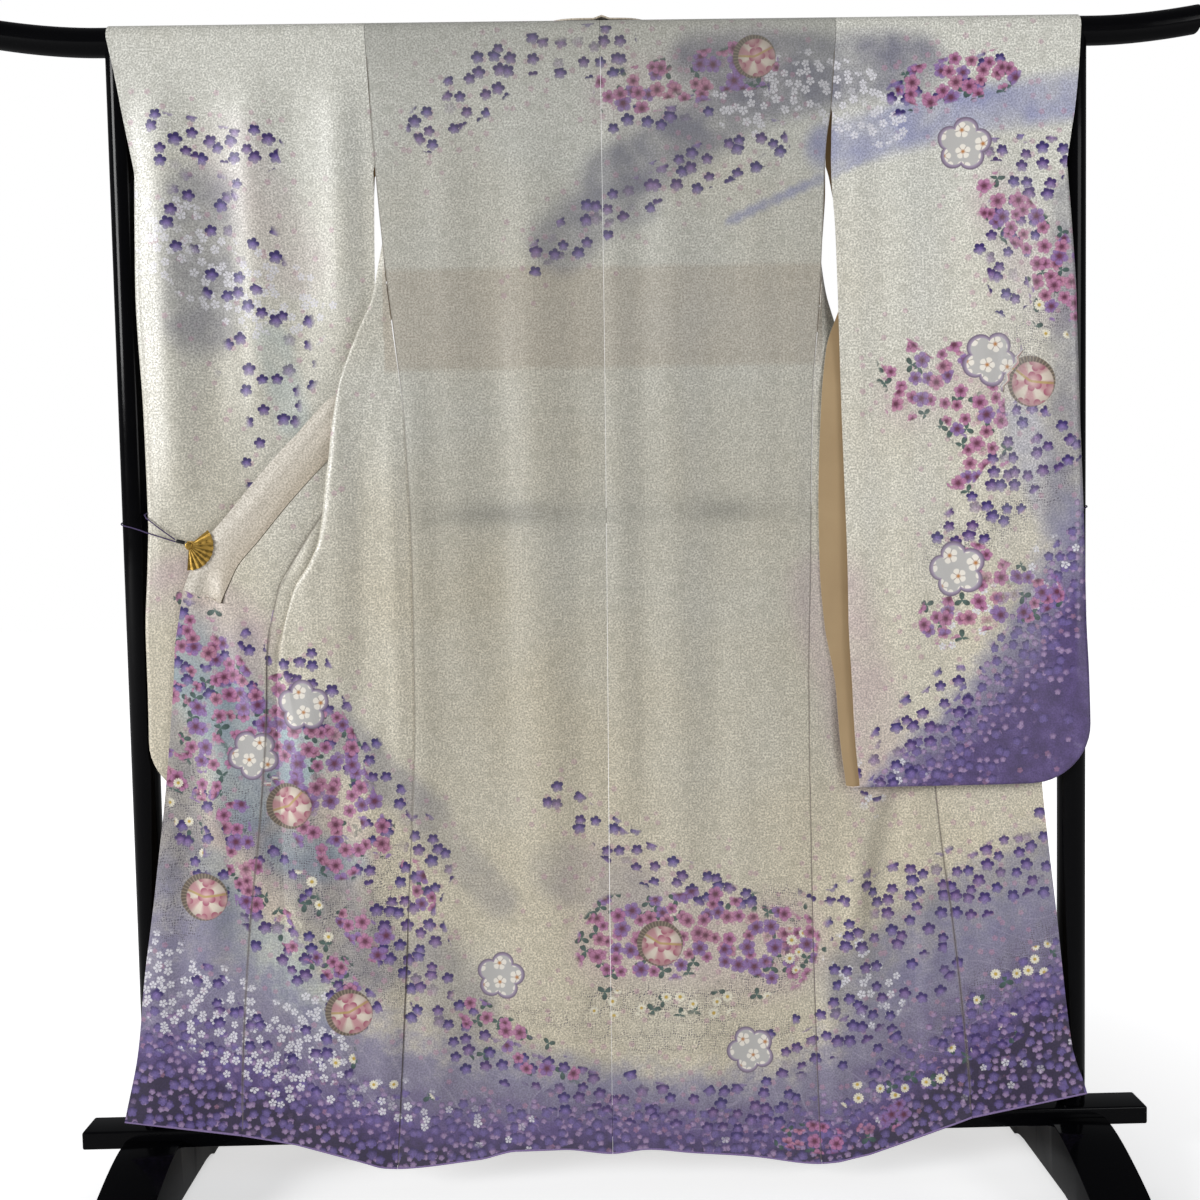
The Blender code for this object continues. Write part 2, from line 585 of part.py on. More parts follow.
def build_over_collar(name, group, material):
    """The over-collar (kake-eri), from one armhole gap round the neck to the other."""
    upper = [z for z in CLOTH_LEVELS if z > OVER_COLLAR_END - 1e-6]
    left = [band_section(LEFT_BAND, LEFT_FRONT, z) for z in reversed(upper)]
    right = [band_section(RIGHT_BAND, RIGHT_FRONT, z) for z in upper]
    return lofted_sheet(name, group, material, left + neck_sections() + right, BAND)


def build_collar(table, front, name, group, material):
    """The part of the collar that shows below the over-collar, down to its squared end."""
    lower = [z for z in CLOTH_LEVELS if COLLAR_END - 1e-6 < z < OVER_COLLAR_END - 1e-6]
    levels = [OVER_COLLAR_END - 2 * SEAM_GAP] + lower
    sections = [band_section(table, front, z) for z in levels]
    return lofted_sheet(name, group, material, sections, BAND)


def sleeve_point(table, layer, across, z, shrink):
    """A point of one layer: depth stays near the edge's value over the post's width."""
    unit = 0.001
    inner = Vector((read(table, layer + "_in_x", z, unit), read(table, layer + "_in_y", z, unit)))
    outer = Vector((read(table, layer + "_out_x", z, unit), read(table, layer + "_out_y", z, unit)))
    turn = 1 if outer.x > 0 else -1
    outer.x -= turn * shrink
    if z > ARMHOLE_END:
        sewn = back_point(turn, 1.0, z) if layer == "near" else front_side(FRONTS[turn], turn, z)
        inner = Vector((sewn.x + turn * SEAM_GAP, sewn.y))
    x = inner.x + (outer.x - inner.x) * across
    near_edge = min(1.0, max(0.0, 1 - (abs(outer.x) + shrink - abs(x) - 0.036) / 0.11))
    blend = near_edge * near_edge * (3 - 2 * near_edge)
    return Vector((x, inner.y + (outer.y - inner.y) * blend, z))


def corner_shrink(rise):
    """How far the round lower corner draws the outer edge in, at a rise over the bottom."""
    if rise >= SLEEVE_CORNER:
        return 0.0
    down = SLEEVE_CORNER - rise
    return SLEEVE_CORNER - math.sqrt(SLEEVE_CORNER ** 2 - down ** 2)


def build_sleeve(side, table, name, group, material):
    """A long sleeve: two layers joined over the rod, along the bottom and up to the cuff."""
    bottom = table["rows"][0][0] * 0.001
    heights = [bottom + rise for rise in SLEEVE_RISES] + list(SLEEVE_LEVELS)
    across = len(SLEEVE_ACROSS)
    points = []
    index = {}
    for layer in ("near", "far"):
        for row, z in enumerate(heights):
            shrink = corner_shrink(z - bottom)
            for column, share in enumerate(SLEEVE_ACROSS):
                index[layer, row, column] = len(points)
                points.append(sleeve_point(table, layer, share, z, shrink))
    faces = []
    for layer in ("near", "far"):
        for row in range(len(heights) - 1):
            for column in range(across - 1):
                faces.append((index[layer, row, column], index[layer, row, column + 1],
                              index[layer, row + 1, column + 1], index[layer, row + 1, column]))

    def middle(row, column, push):
        near = points[index["near", row, column]]
        far = points[index["far", row, column]]
        points.append((near + far) / 2 + push)
        return len(points) - 1

    below = [middle(0, column, Vector((0, 0, -0.0018))) for column in range(across)]
    for column in range(across - 1):
        for layer in ("near", "far"):
            faces.append((index[layer, 0, column], index[layer, 0, column + 1],
                          below[column + 1], below[column]))
    last = across - 1
    closed = [row for row, z in enumerate(heights) if z <= CUFF_END + 1e-6]
    outside = {0: below[last]}
    for row in closed[1:]:
        lean = min(1.0, (heights[row] - bottom) / SLEEVE_CORNER)
        outside[row] = middle(row, last, Vector((side * lean, 0, lean - 1)).normalized() * 0.0018)
    for row in closed[:-1]:
        for layer in ("near", "far"):
            faces.append((index[layer, row, last], index[layer, row + 1, last],
                          outside[row + 1], outside[row]))
    top = len(heights) - 1
    arcs = [[index["near", top, column] for column in range(across)]]
    for step in range(1, 12):
        angle = -math.pi / 2 + math.pi * step / 12
        share = max(0.0, (angle - SHOULDER_SPLIT) / (math.pi / 2 - SHOULDER_SPLIT))
        arc = []
        for column in range(across):
            near = points[index["near", top, column]]
            far = points[index["far", top, column]]
            arc.append(len(points))
            points.append(over_rod(angle, WRAP_R, near.x + (far.x - near.x) * share))
        arcs.append(arc)
    arcs.append([index["far", top, column] for column in range(across)])
    for lower, upper in zip(arcs, arcs[1:]):
        for column in range(across - 1):
            faces.append((lower[column], lower[column + 1], upper[column + 1], upper[column]))
    return sheet(name, group, material, points, faces, CLOTH)


def tube(name, group, material, points, radius, resolution):
    path = bpy.data.curves.new(name, "CURVE")
    path.dimensions = "3D"
    path.bevel_depth = radius
    path.bevel_resolution = resolution
    path.use_fill_caps = True
    line = path.splines.new("POLY")
    line.points.add(len(points) - 1)
    for place, point in zip(line.points, points):
        place.co = (*point, 1.0)
    return link(bpy.data.objects.new(name, path), group, material)


def rod_height(x):
    beyond = max(0.0, abs(x) - ROD_BEND_FROM) / (ROD_HALF - ROD_BEND_FROM)
    return ROD_Z + ROD_RISE * beyond ** 1.8


def build_rod(group, material):
    ends = [ROD_BEND_FROM + (ROD_HALF - ROD_BEND_FROM) * k / 6 for k in range(7)]
    places = [-x for x in reversed(ends)] + ends
    points = [Vector((x, 0.0, rod_height(x))) for x in places]
    return tube("rod", group, material, points, ROD_R, 10)


def cylinder(name, group, material, radius, start, end, sides):
    """A cylinder between two points."""
    axis = end - start
    bpy.ops.mesh.primitive_cylinder_add(vertices=sides, radius=radius, depth=axis.length)
    item = bpy.context.object
    item.name = name
    turn = axis.to_track_quat("Z", "Y").to_matrix().to_4x4()
    item.data.transform(Matrix.Translation((start + end) / 2) @ turn)
    for owner in list(item.users_collection):
        owner.objects.unlink(item)
    group.objects.link(item)
    if material is not None:
        item.data.materials.append(material)
    return item


def cut(item, tool, name):
    tool.hide_render = True
    tool.display_type = "WIRE"
    step = item.modifiers.new(name, "BOOLEAN")
    step.operation = "DIFFERENCE"
    step.solver = "EXACT"
    step.object = tool
    return item


def build_posts(group, cutters, material):
    """Round posts whose tops are hollowed to the rod; they stand on the beam."""
    reach = Vector((ROD_HALF, 0, 0))
    centre = Vector((0, 0, ROD_Z))
    for side, name in ((-1, "post_left"), (1, "post_right")):
        foot = Vector((side * POST_X, 0, BEAM_TOP + TOUCH_GAP))
        post = cylinder(name, group, material, POST_R, foot,
                        Vector((side * POST_X, 0, ROD_Z)), 32)
        saddle = cylinder(name + "_saddle", cutters, None, ROD_R + TOUCH_GAP,
                          centre - reach, centre + reach, 32)
        cut(post, saddle, "rod_saddle")


def build_rail(group, cutters, material):
    """The middle rail, its ends hollowed to the posts."""
    centre = Vector((0, RAIL_Y, RAIL_Z))
    reach = Vector((POST_X, 0, 0))
    rail = cylinder("mid_rail", group, material, RAIL_R, centre - reach, centre + reach, 24)
    for side, name in ((-1, "left"), (1, "right")):
        low = Vector((side * POST_X, 0, RAIL_Z - 0.05))
        high = Vector((side * POST_X, 0, RAIL_Z + 0.05))
        mortise = cylinder("rail_cut_" + name, cutters, None, POST_R + TOUCH_GAP, low, high, 32)
        cut(rail, mortise, "post_" + name)


def build_beam(group, material):
    bpy.ops.mesh.primitive_cube_add(size=1)
    beam = bpy.context.object
    beam.name = "base_beam"
    centre = Vector((0, 0, BEAM_TOP - BEAM_HEIGHT / 2))
    scale = Matrix.Diagonal((2 * BEAM_HALF, BEAM_DEPTH, BEAM_HEIGHT, 1.0))
    beam.data.transform(Matrix.Translation(centre) @ scale)
    for owner in list(beam.users_collection):
        owner.objects.unlink(beam)
    link(beam, group, material)
    edges = beam.modifiers.new("soft_edges", "BEVEL")
    edges.width = 0.003
    edges.segments = 2


def foot_outline():
    """Side view of a foot in (y, z): pads at both ends, a shallow arch and a beam notch."""
    notch = BEAM_DEPTH / 2 + TOUCH_GAP
    seat = BEAM_TOP - BEAM_HEIGHT - TOUCH_GAP
    half_top = [(notch, seat), (notch, FOOT_CROWN), (0.050, 0.0900), (0.078, 0.0840),
                (0.107, 0.0745), (0.135, 0.0635), (0.162, 0.0510), (0.182, 0.0385),
                (0.194, 0.0260), (FOOT_HALF, 0.0120), (FOOT_HALF - 0.001, 0.0)]
    under = [(FOOT_PAD_FROM + 0.008, 0.0), (FOOT_PAD_FROM, 0.0045),
             (FOOT_PAD_FROM - 0.012, 0.0085), (FOOT_PAD_FROM - 0.034, FOOT_RECESS)]
    right = half_top + under
    left = [(-y, z) for y, z in reversed(right)]
    return right + left


def build_foot(side, name, group, material):
    """A foot is its side view, extruded to its width."""
    outline = foot_outline()
    path = bpy.data.curves.new(name, "CURVE")
    path.dimensions = "2D"
    path.fill_mode = "BOTH"
    path.extrude = FOOT_WIDTH / 2
    line = path.splines.new("POLY")
    line.points.add(len(outline) - 1)
    for place, (y, z) in zip(line.points, outline):
        place.co = (y, z, 0.0, 1.0)
    line.use_cyclic_u = True
    flat = bpy.data.objects.new(name + "_outline", path)
    group.objects.link(flat)
    bpy.context.view_layer.update()
    graph = bpy.context.evaluated_depsgraph_get()
    mesh = bpy.data.meshes.new_from_object(flat.evaluated_get(graph))
    upright = Matrix(((0, 0, 1, side * POST_X), (1, 0, 0, 0), (0, 1, 0, 0), (0, 0, 0, 1)))
    mesh.transform(upright)
    work = bmesh.new()
    work.from_mesh(mesh)
    bmesh.ops.remove_doubles(work, verts=work.verts, dist=0.00001)
    bmesh.ops.recalc_face_normals(work, faces=work.faces)
    work.to_mesh(mesh)
    work.free()
    bpy.data.objects.remove(flat, do_unlink=True)
    link(bpy.data.objects.new(name, mesh), group, material)


def build_fan(side, name, depth, group, material):
    """The clip's ribbed fan plate, in front of the collar's edge."""
    pivot = Vector((side * CLIP_X, depth, CLIP_Z))
    rows = []
    count = FAN_RIBS * 2
    for radius in (FAN_INNER_R, 0.35 * FAN_R, FAN_R):
        row = []
        for step in range(count + 1):
            angle = FAN_START + (FAN_END - FAN_START) * step / count
            wave = FAN_WAVE * (-1) ** (step + 1) * radius / FAN_R
            offset = Vector((-side * math.cos(angle) * radius, wave, math.sin(angle) * radius))
            row.append(pivot + offset)
        rows.append(row)
    return lofted_sheet(name, group, material, rows, FAN_THICK)


def build_clip(side, cloth, names, group, materials):
    """Fan in front of the collar, hub beside its edge, jaw behind it, ferrule outwards."""
    brass = materials["brass"]
    fan = cloth - BAND / 2 - TOUCH_GAP - FAN_WAVE - FAN_THICK / 2
    build_fan(side, names[0], fan, group, brass)
    jaw = cloth + BAND / 2 + 2 * TOUCH_GAP + JAW_THICK / 2
    front = Vector((side * CLIP_X, fan + FAN_THICK / 2 + TOUCH_GAP, CLIP_Z))
    rear = Vector((side * CLIP_X, jaw - JAW_THICK / 2 - TOUCH_GAP, CLIP_Z))
    cylinder(names[1], group, brass, HUB_R, rear, front, 20)
    bpy.ops.mesh.primitive_cube_add(size=1)
    plate = bpy.context.object
    plate.name = names[2]
    span = JAW_REACH + HUB_R
    centre = Vector((side * (CLIP_X + HUB_R - span / 2), jaw, CLIP_Z))
    scale = Matrix.Diagonal((span, JAW_THICK, JAW_HEIGHT, 1.0))
    plate.data.transform(Matrix.Translation(centre) @ scale)
    for owner in list(plate.users_collection):
        owner.objects.unlink(plate)
    link(plate, group, brass)
    inner = Vector((side * (CLIP_X + HUB_R + 0.0014), cloth, CLIP_Z + 0.004))
    outer = inner + Vector((side * FERRULE_LENGTH, 0, 0.003))
    cylinder(names[3], group, materials["black_plastic"], FERRULE_R, inner, outer, 16)
    return outer


def build_elastic(side, start, lead_in, arc, lead_out, name, group, material):
    """A thin elastic loop: from the ferrule round the post and back to the ferrule."""
    offset = Vector((side * 0.0014, 0, 0.0013))
    points = [start + offset]
    points += [Vector((side * x, y, z)) for x, y, z in lead_in]
    first, last = arc
    count = 16
    for step in range(count + 1):
        angle = math.radians(first + (last - first) * step / count)
        fall = 0.020 * step / count
        place = Vector((POST_X + LOOP_R * math.cos(angle), LOOP_R * math.sin(angle)))
        points.append(Vector((side * place.x, place.y, LOOP_Z - fall)))
    points += [Vector((side * x, y, z)) for x, y, z in lead_out]
    points.append(start + Vector((side * 0.0014, 0, -0.0013)))
    tube(name, group, material, points, ELASTIC_R, 2)


def main():
    clear_scene()
    group = make_collection(OBJECT_NAME)
    cutters = make_collection("cutters")
    materials = {name: make_material(name) for name in COLOURS}
    lacquer = materials["lacquer"]
    silk = materials["silk"]
    build_rod(group, lacquer)
    build_posts(group, cutters, lacquer)
    build_rail(group, cutters, lacquer)
    build_beam(group, lacquer)
    build_foot(-1, "foot_left", group, lacquer)
    build_foot(1, "foot_right", group, lacquer)
    build_back(-1, "back_left", group, silk)
    build_back(1, "back_right", group, silk)
    build_front(-1, LEFT_FRONT, "front_left", group, silk)
    build_front(1, RIGHT_FRONT, "front_right", group, silk)
    build_overlap(-1, LEFT_FRONT, LEFT_EDGE, "overlap_left", group, silk)
    build_overlap(1, RIGHT_FRONT, RIGHT_EDGE, "overlap_right", group, silk)
    build_over_collar("over_collar", group, materials["collar_silk"])
    build_collar(LEFT_BAND, LEFT_FRONT, "collar_left", group, materials["collar_silk"])
    build_collar(RIGHT_BAND, RIGHT_FRONT, "collar_right", group, materials["collar_silk"])
    build_sleeve(-1, LEFT_SLEEVE, "sleeve_left", group, silk)
    build_sleeve(1, RIGHT_SLEEVE, "sleeve_right", group, silk)
    left_names = ("clip_fan_left", "clip_hub_left", "clip_jaw_left", "ferrule_left")
    left_end = build_clip(-1, -0.0347, left_names, group, materials)
    around_sleeve = ((0.612, -0.0335, 0.951), (0.6285, -0.0305, 0.964),
                     (0.6322, -0.0262, 0.9685), (0.6322, -0.016, 0.971))
    back_round_sleeve = ((0.640, -0.0262, 0.948), (0.6285, -0.0305, 0.944))
    build_elastic(-1, left_end, around_sleeve, (180, -85), back_round_sleeve, "elastic_left",
                  group, materials["elastic"])
    right_names = ("clip_fan_right", "clip_hub_right", "clip_jaw_right", "ferrule_right")
    right_end = build_clip(1, -0.0085, right_names, group, materials)
    before_rail = ((0.612, -0.0105, 0.953), (0.6285, -0.0095, 0.9715))
    build_elastic(1, right_end, before_rail, (190, -100), (), "elastic_right", group,
                  materials["elastic"])
    bpy.context.view_layer.update()


main()
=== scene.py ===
import math
from types import SimpleNamespace

import bmesh
import bpy
import numpy as np
from mathutils import Matrix, Vector


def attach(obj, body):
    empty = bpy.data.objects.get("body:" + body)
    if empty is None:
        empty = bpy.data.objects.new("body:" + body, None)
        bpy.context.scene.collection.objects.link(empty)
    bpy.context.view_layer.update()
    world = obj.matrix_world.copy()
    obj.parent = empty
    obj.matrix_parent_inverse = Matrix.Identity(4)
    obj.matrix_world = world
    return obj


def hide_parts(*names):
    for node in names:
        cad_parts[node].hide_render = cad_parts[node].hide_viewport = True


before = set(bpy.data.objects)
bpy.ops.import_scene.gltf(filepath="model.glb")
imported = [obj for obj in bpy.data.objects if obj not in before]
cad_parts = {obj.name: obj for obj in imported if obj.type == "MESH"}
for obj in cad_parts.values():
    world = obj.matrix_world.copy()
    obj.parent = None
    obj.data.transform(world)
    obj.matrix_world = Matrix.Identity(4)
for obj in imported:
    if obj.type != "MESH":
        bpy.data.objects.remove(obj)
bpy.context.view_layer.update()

# Camera: a normal lens at chest height, 1.7 m in front of the silk, a little down and left.
EYE = (-0.0355, -1.7176, 0.9245)
PITCH, ROLL, YAW = -0.04969, 0.01823, -0.01401
SENSOR = 36.0
FOCAL_PIXELS, FRAME_PIXELS = 1228.1, 1200.0


def put(name, data):
    """Puts a camera, a light or a code-made piece into the scene."""
    item = bpy.data.objects.new(name, data)
    bpy.context.scene.collection.objects.link(item)
    return item


camera = put("camera", bpy.data.cameras.new("camera"))
camera.data.sensor_width = SENSOR
camera.data.lens = SENSOR * FOCAL_PIXELS / FRAME_PIXELS
turned = Matrix.Rotation(YAW, 4, "Z") @ Matrix.Rotation(PITCH, 4, "X") @ Matrix.Rotation(ROLL, 4, "Y")
camera.matrix_world = Matrix.Translation(EYE) @ turned @ Matrix.Rotation(math.radians(90), 4, "X")
bpy.context.scene.camera = camera


# Room: a pale matt floor and a white wall, a large soft window light from the left that rakes
# the folds, and a weak fill from the right, as in a plain photographer's corner.
def linear(code):
    """An sRGB hex colour as linear light."""
    parts = [int(code[k:k + 2], 16) / 255 for k in (1, 3, 5)]
    return tuple(c / 12.92 if c <= 0.04045 else ((c + 0.055) / 1.055) ** 2.4 for c in parts) + (1.0,)


def fill(node, *values, **named):
    """Fills a node's inputs in turn and by name: a node gives its first output, a socket is
    linked, a hex colour is turned to linear light, and None leaves an input as it is."""
    places = list(range(len(values))) + [name.replace("_", " ") for name in named]
    for place, value in zip(places, values + tuple(named.values())):
        if isinstance(value, str):
            value = linear(value)
        if isinstance(value, bpy.types.Node):
            value = value.outputs[0]
        if isinstance(value, bpy.types.NodeSocket):
            node.id_data.links.new(value, node.inputs[place])
        elif value is not None:
            node.inputs[place].default_value = value
    return node


def add(kind, *values, **settings):
    """Adds one shader node to the tree in hand ("Math ADD" names its operation too). Settings
    with a capital are inputs, the others the node's own properties."""
    kind, _, operation = kind.partition(" ")
    node = tree.nodes.new("ShaderNode" + kind)
    if operation:
        node.operation = operation
    for key, value in settings.items():
        if key[0].islower():
            setattr(node, key, value)
    return fill(node, *values, **{key: value for key, value in settings.items() if key[0].isupper()})


def new_finish(name, roughness, metallic=0.0, **sockets):
    """A material with its one main shader; sockets are constants such as Coat_Weight."""
    finish = bpy.data.materials.new(name)
    finish.use_nodes = True
    shader = finish.node_tree.nodes["Principled BSDF"]
    fill(shader, Roughness=roughness, Metallic=metallic, **sockets)
    return finish, finish.node_tree, shader


# Painted board: matt, faintly mottled; to the eye it runs out into white away from the object
floor_paint, tree, shader = new_finish("matt_painted_floor", 0.9)
spot = add("TexCoord").outputs["Object"]
mottle = add("TexNoise", spot, None, 3.0, 3.0)
tone = add("MixRGB", mottle, "#e9e9ea", "#f1f1f1")
far = add("MapRange", add("VectorMath LENGTH", spot).outputs["Value"], 0.4, 1.8, 0.45, 0.95)
glow = add("Math MULTIPLY", far, add("LightPath").outputs["Is Camera Ray"])
fill(shader, Base_Color=tone, Emission_Color="#ffffff", Emission_Strength=glow)
floor_paint.cycles.emission_sampling = "NONE"


def blank(kind, scale=(1, 1, 1), **shape):
    """Starts a piece from a primitive with nothing else selected, its place kept in its mesh."""
    bpy.ops.object.select_all(action="DESELECT")
    getattr(bpy.ops.mesh, "primitive_" + kind + "_add")(**shape)
    item = bpy.context.object
    item.scale = scale
    bpy.ops.object.transform_apply(location=True, rotation=True, scale=True)
    return item


floor = blank("plane", size=24.0, location=(0, 0, -0.0002))
floor.name = "studio_floor"
floor.data.materials.append(floor_paint)
for name, place, aim, size, power in (
        ("left_window", (-7.4, -5.0, 3.2), (0.0, 0.0, 0.95), 3.0, 705.0),
        ("right_fill", (3.4, -3.0, 1.7), (0.3, 0.0, 0.95), 1.8, 54.0),
        ("back_fill", (0.3, 2.8, 2.2), (0.0, 0.0, 1.0), 2.4, 18.0)):
    lamp = put(name, bpy.data.lights.new(name, "AREA"))
    lamp.data.shape = "SQUARE"
    lamp.data.size = size
    lamp.data.energy = power
    lamp.location = place
    lamp.rotation_euler = (Vector(aim) - Vector(place)).to_track_quat("-Z", "Y").to_euler()
    lamp.visible_camera = False
# The room lights the object softly; its far wall is seen white
world = bpy.data.worlds.new("pale_room")
world.use_nodes = True
tree = world.node_tree
haze = fill(tree.nodes["Background"], Color="#f2f4f8", Strength=0.185)
wall = add("Background", "#ffffff", 1.0)
seen = add("MixShader", add("LightPath").outputs["Is Camera Ray"], haze, wall)
fill(tree.nodes["World Output"], Surface=seen)
bpy.context.scene.world = world
bpy.context.scene.view_settings.view_transform = "Standard"

# Rod: a turned wooden rod, 38 mm thick, lacquered black and polished, its ends swept up.
# It lies in the saddles of the posts and carries the garment's shoulders.
ROD_Z = 1.611
ROD_R = 0.019
ROD_HALF = 0.826
ROD_BEND_FROM = 0.68
ROD_RISE = 0.014


def alone(item):
    bpy.ops.object.select_all(action="DESELECT")
    item.select_set(True)
    bpy.context.view_layer.objects.active = item


def edit(item, kind="EDGE"):
    """Takes one piece into edit mode with nothing in it selected."""
    alone(item)
    bpy.ops.object.mode_set(mode="EDIT")
    bpy.ops.mesh.select_mode(type=kind)
    bpy.ops.mesh.select_all(action="DESELECT")


def choose(test, kind="edges"):
    """Selects the edges, faces or vertices whose middle passes the test."""
    work = bmesh.from_edit_mesh(bpy.context.object.data)
    for part in getattr(work, kind):
        spots = [part.co] if kind == "verts" else [v.co for v in part.verts]
        if test(sum(spots, Vector()) / len(spots), part):
            part.select = True
    work.select_flush_mode()
    bmesh.update_edit_mesh(bpy.context.object.data)


def slice_at(axis, places):
    """Cuts the whole piece in edit mode through at places along one axis."""
    normal = Vector((0, 0, 0))
    normal["xyz".index(axis)] = 1
    for place in places:
        bpy.ops.mesh.select_all(action="SELECT")
        bpy.ops.mesh.bisect(plane_co=normal * place, plane_no=normal)
    bpy.ops.mesh.select_all(action="DESELECT")


def settle(item, name, finish, slot, *nodes, angle=35):
    """Brings a hard piece home: place in its mesh, smoothed, finished, riding on the frame."""
    if bpy.context.mode != "OBJECT":
        bpy.ops.object.mode_set(mode="OBJECT")
    alone(item)
    bpy.ops.object.transform_apply(location=True, rotation=True, scale=True)
    bpy.ops.object.shade_smooth_by_angle(angle=math.radians(angle))
    item.name = item.data.name = name
    item.data.materials.clear()
    item.data.materials.append(finish)
    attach(item, "root")
    if nodes:
        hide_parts(*nodes)
    return item


# Black lacquer, sprayed and polished: deep mirror gloss, a slow waviness of the coats under it
lacquer, tree, shader = new_finish("black_lacquer_polished", 0.12, Specular_IOR_Level=0.08,
                                   Coat_Weight=0.02, Coat_Roughness=0.05)
spot = add("TexCoord").outputs["Object"]
dust = add("TexNoise", spot, None, 420.0, 4.0)
tone = add("MixRGB", dust, "#020203", "#08080a")
haziness = add("MapRange", add("TexNoise", spot, None, 9.0, 3.0), 0.3, 0.7, 0.09, 0.2)
waves = add("Bump", 0.12, 0.002, Height=add("TexNoise", spot, None, 26.0, 1.0))
fill(shader, Base_Color=tone, Roughness=haziness, Normal=waves)

ACROSS = (0, math.pi / 2, 0)
rod = blank("cylinder", vertices=64, radius=ROD_R, depth=2 * ROD_HALF, location=(0, 0, ROD_Z),
            rotation=ACROSS)
edit(rod)
choose(lambda m, e: abs(m.x) > ROD_HALF - 0.0001)
bpy.ops.mesh.bevel(offset=0.003, segments=4)
bends = [ROD_BEND_FROM + (ROD_HALF - 0.006 - ROD_BEND_FROM) * k / 12 for k in range(13)]
slice_at("x", [-x for x in bends] + bends)
bpy.ops.object.mode_set(mode="OBJECT")
for vertex in rod.data.vertices:
    beyond = max(0.0, abs(vertex.co.x) - ROD_BEND_FROM) / (ROD_HALF - ROD_BEND_FROM)
    vertex.co.z += ROD_RISE * beyond ** 1.8
settle(rod, "lacquered_rod", lacquer, "lacquer", "rod")

# Posts: two round lacquered posts; their tops are hollowed to the rod, their feet stand on
# the beam. The middle rail is mortised between them.
POST_X = 0.652
POST_R = 0.019
RAIL_Z = 0.957
RAIL_Y = 0.006
RAIL_R = 0.0105
BEAM_TOP = 0.106
TOUCH_GAP = 0.0003


def hollow(item, radius, place, turn):
    """Cuts a round hollow through a piece."""
    tool = blank("cylinder", vertices=64, radius=radius, depth=0.3, location=place, rotation=turn)
    cut = item.modifiers.new("hollow", "BOOLEAN")
    cut.object = tool
    alone(item)
    bpy.ops.object.modifier_apply(modifier="hollow")
    bpy.data.objects.remove(tool, do_unlink=True)


for side, word in ((-1, "left"), (1, "right")):
    post = blank("cylinder", vertices=48, radius=POST_R, depth=ROD_Z - BEAM_TOP - TOUCH_GAP,
                 location=(side * POST_X, 0, (ROD_Z + BEAM_TOP + TOUCH_GAP) / 2))
    edit(post)
    choose(lambda m, e: m.z < BEAM_TOP + 0.001)
    bpy.ops.mesh.bevel(offset=0.001, segments=3)
    bpy.ops.object.mode_set(mode="OBJECT")
    hollow(post, ROD_R + TOUCH_GAP, (side * POST_X, 0, ROD_Z), ACROSS)
    settle(post, "lacquered_post_" + word, lacquer, "lacquer", "post_" + word)

rail = blank("cylinder", vertices=40, radius=RAIL_R, depth=2 * POST_X, location=(0, RAIL_Y, RAIL_Z),
             rotation=ACROSS)
for side in (-1, 1):
    hollow(rail, POST_R + TOUCH_GAP, (side * POST_X, 0, RAIL_Z), (0, 0, 0))
settle(rail, "lacquered_rail", lacquer, "lacquer", "mid_rail")

# Base: a flat beam, its edges eased, let into the crowns of two arched feet. All of it is
# wood under the same black lacquer.
BEAM_HALF = 0.7525
BEAM_DEPTH = 0.048
BEAM_HEIGHT = 0.0255
FOOT_WIDTH, FOOT_DEPTH = 0.080, 0.400
FOOT_CUTS = [0.0240, 0.0243, 0.036, 0.05, 0.064, 0.078, 0.092, 0.098, 0.107, 0.110, 0.118, 0.127, 0.135,
             0.149, 0.162, 0.172, 0.182, 0.188, 0.194, 0.197, 0.199]
FOOT_PROFILE = {
    "columns": ("out_mm", "top_mm"),
    "rows": ((24.3, 92), (50, 90), (78, 84), (107, 74.5), (135, 63.5), (162, 51),
             (182, 38.5), (194, 26), (199, 14), (200, 8)),
}
FOOT_ARCH = {
    "columns": ("out_mm", "under_mm"),
    "rows": ((0, 11), (76, 11), (98, 8.5), (110, 4.5), (118, 0), (200, 0)),
}


def hermite(keys, values, at):
    """A smooth curve through rising keys that never overshoots them, read at many places."""
    keys, values = np.asarray(keys, float), np.asarray(values, float)
    at = np.clip(np.asarray(at, float), keys[0], keys[-1])
    width = np.diff(keys)
    slope = np.diff(values) / width
    tangent = np.empty(len(keys))
    tangent[0], tangent[-1] = slope[0], slope[-1]
    both = slope[:-1] * slope[1:]
    total = slope[:-1] + slope[1:]
    safe = np.where(both > 0, total, 1.0)
    tangent[1:-1] = np.where(both > 0, 2 * both / safe, 0.0)
    index = np.clip(np.searchsorted(keys, at) - 1, 0, len(keys) - 2)
    t = (at - keys[index]) / width[index]
    rise = t * t * (3 - 2 * t)
    leave = width[index] * tangent[index] * t * (1 - t) ** 2
    arrive = width[index] * tangent[index + 1] * t * t * (t - 1)
    return values[index] + (values[index + 1] - values[index]) * rise + leave + arrive


def read(table, name, at, unit=1.0):
    """Reads one named column at a place in the first column, both in the table's unit."""
    column = table["columns"].index(name)
    rows = sorted(table["rows"])
    return hermite([row[0] for row in rows], [row[column] for row in rows], np.asarray(at) / unit) * unit


beam = blank("cube", (2 * BEAM_HALF, BEAM_DEPTH, BEAM_HEIGHT), size=1,
             location=(0, 0, BEAM_TOP - BEAM_HEIGHT / 2))
edit(beam)
bpy.ops.mesh.select_all(action="SELECT")
bpy.ops.mesh.bevel(offset=0.003, segments=4)
settle(beam, "lacquered_beam", lacquer, "lacquer", "base_beam")

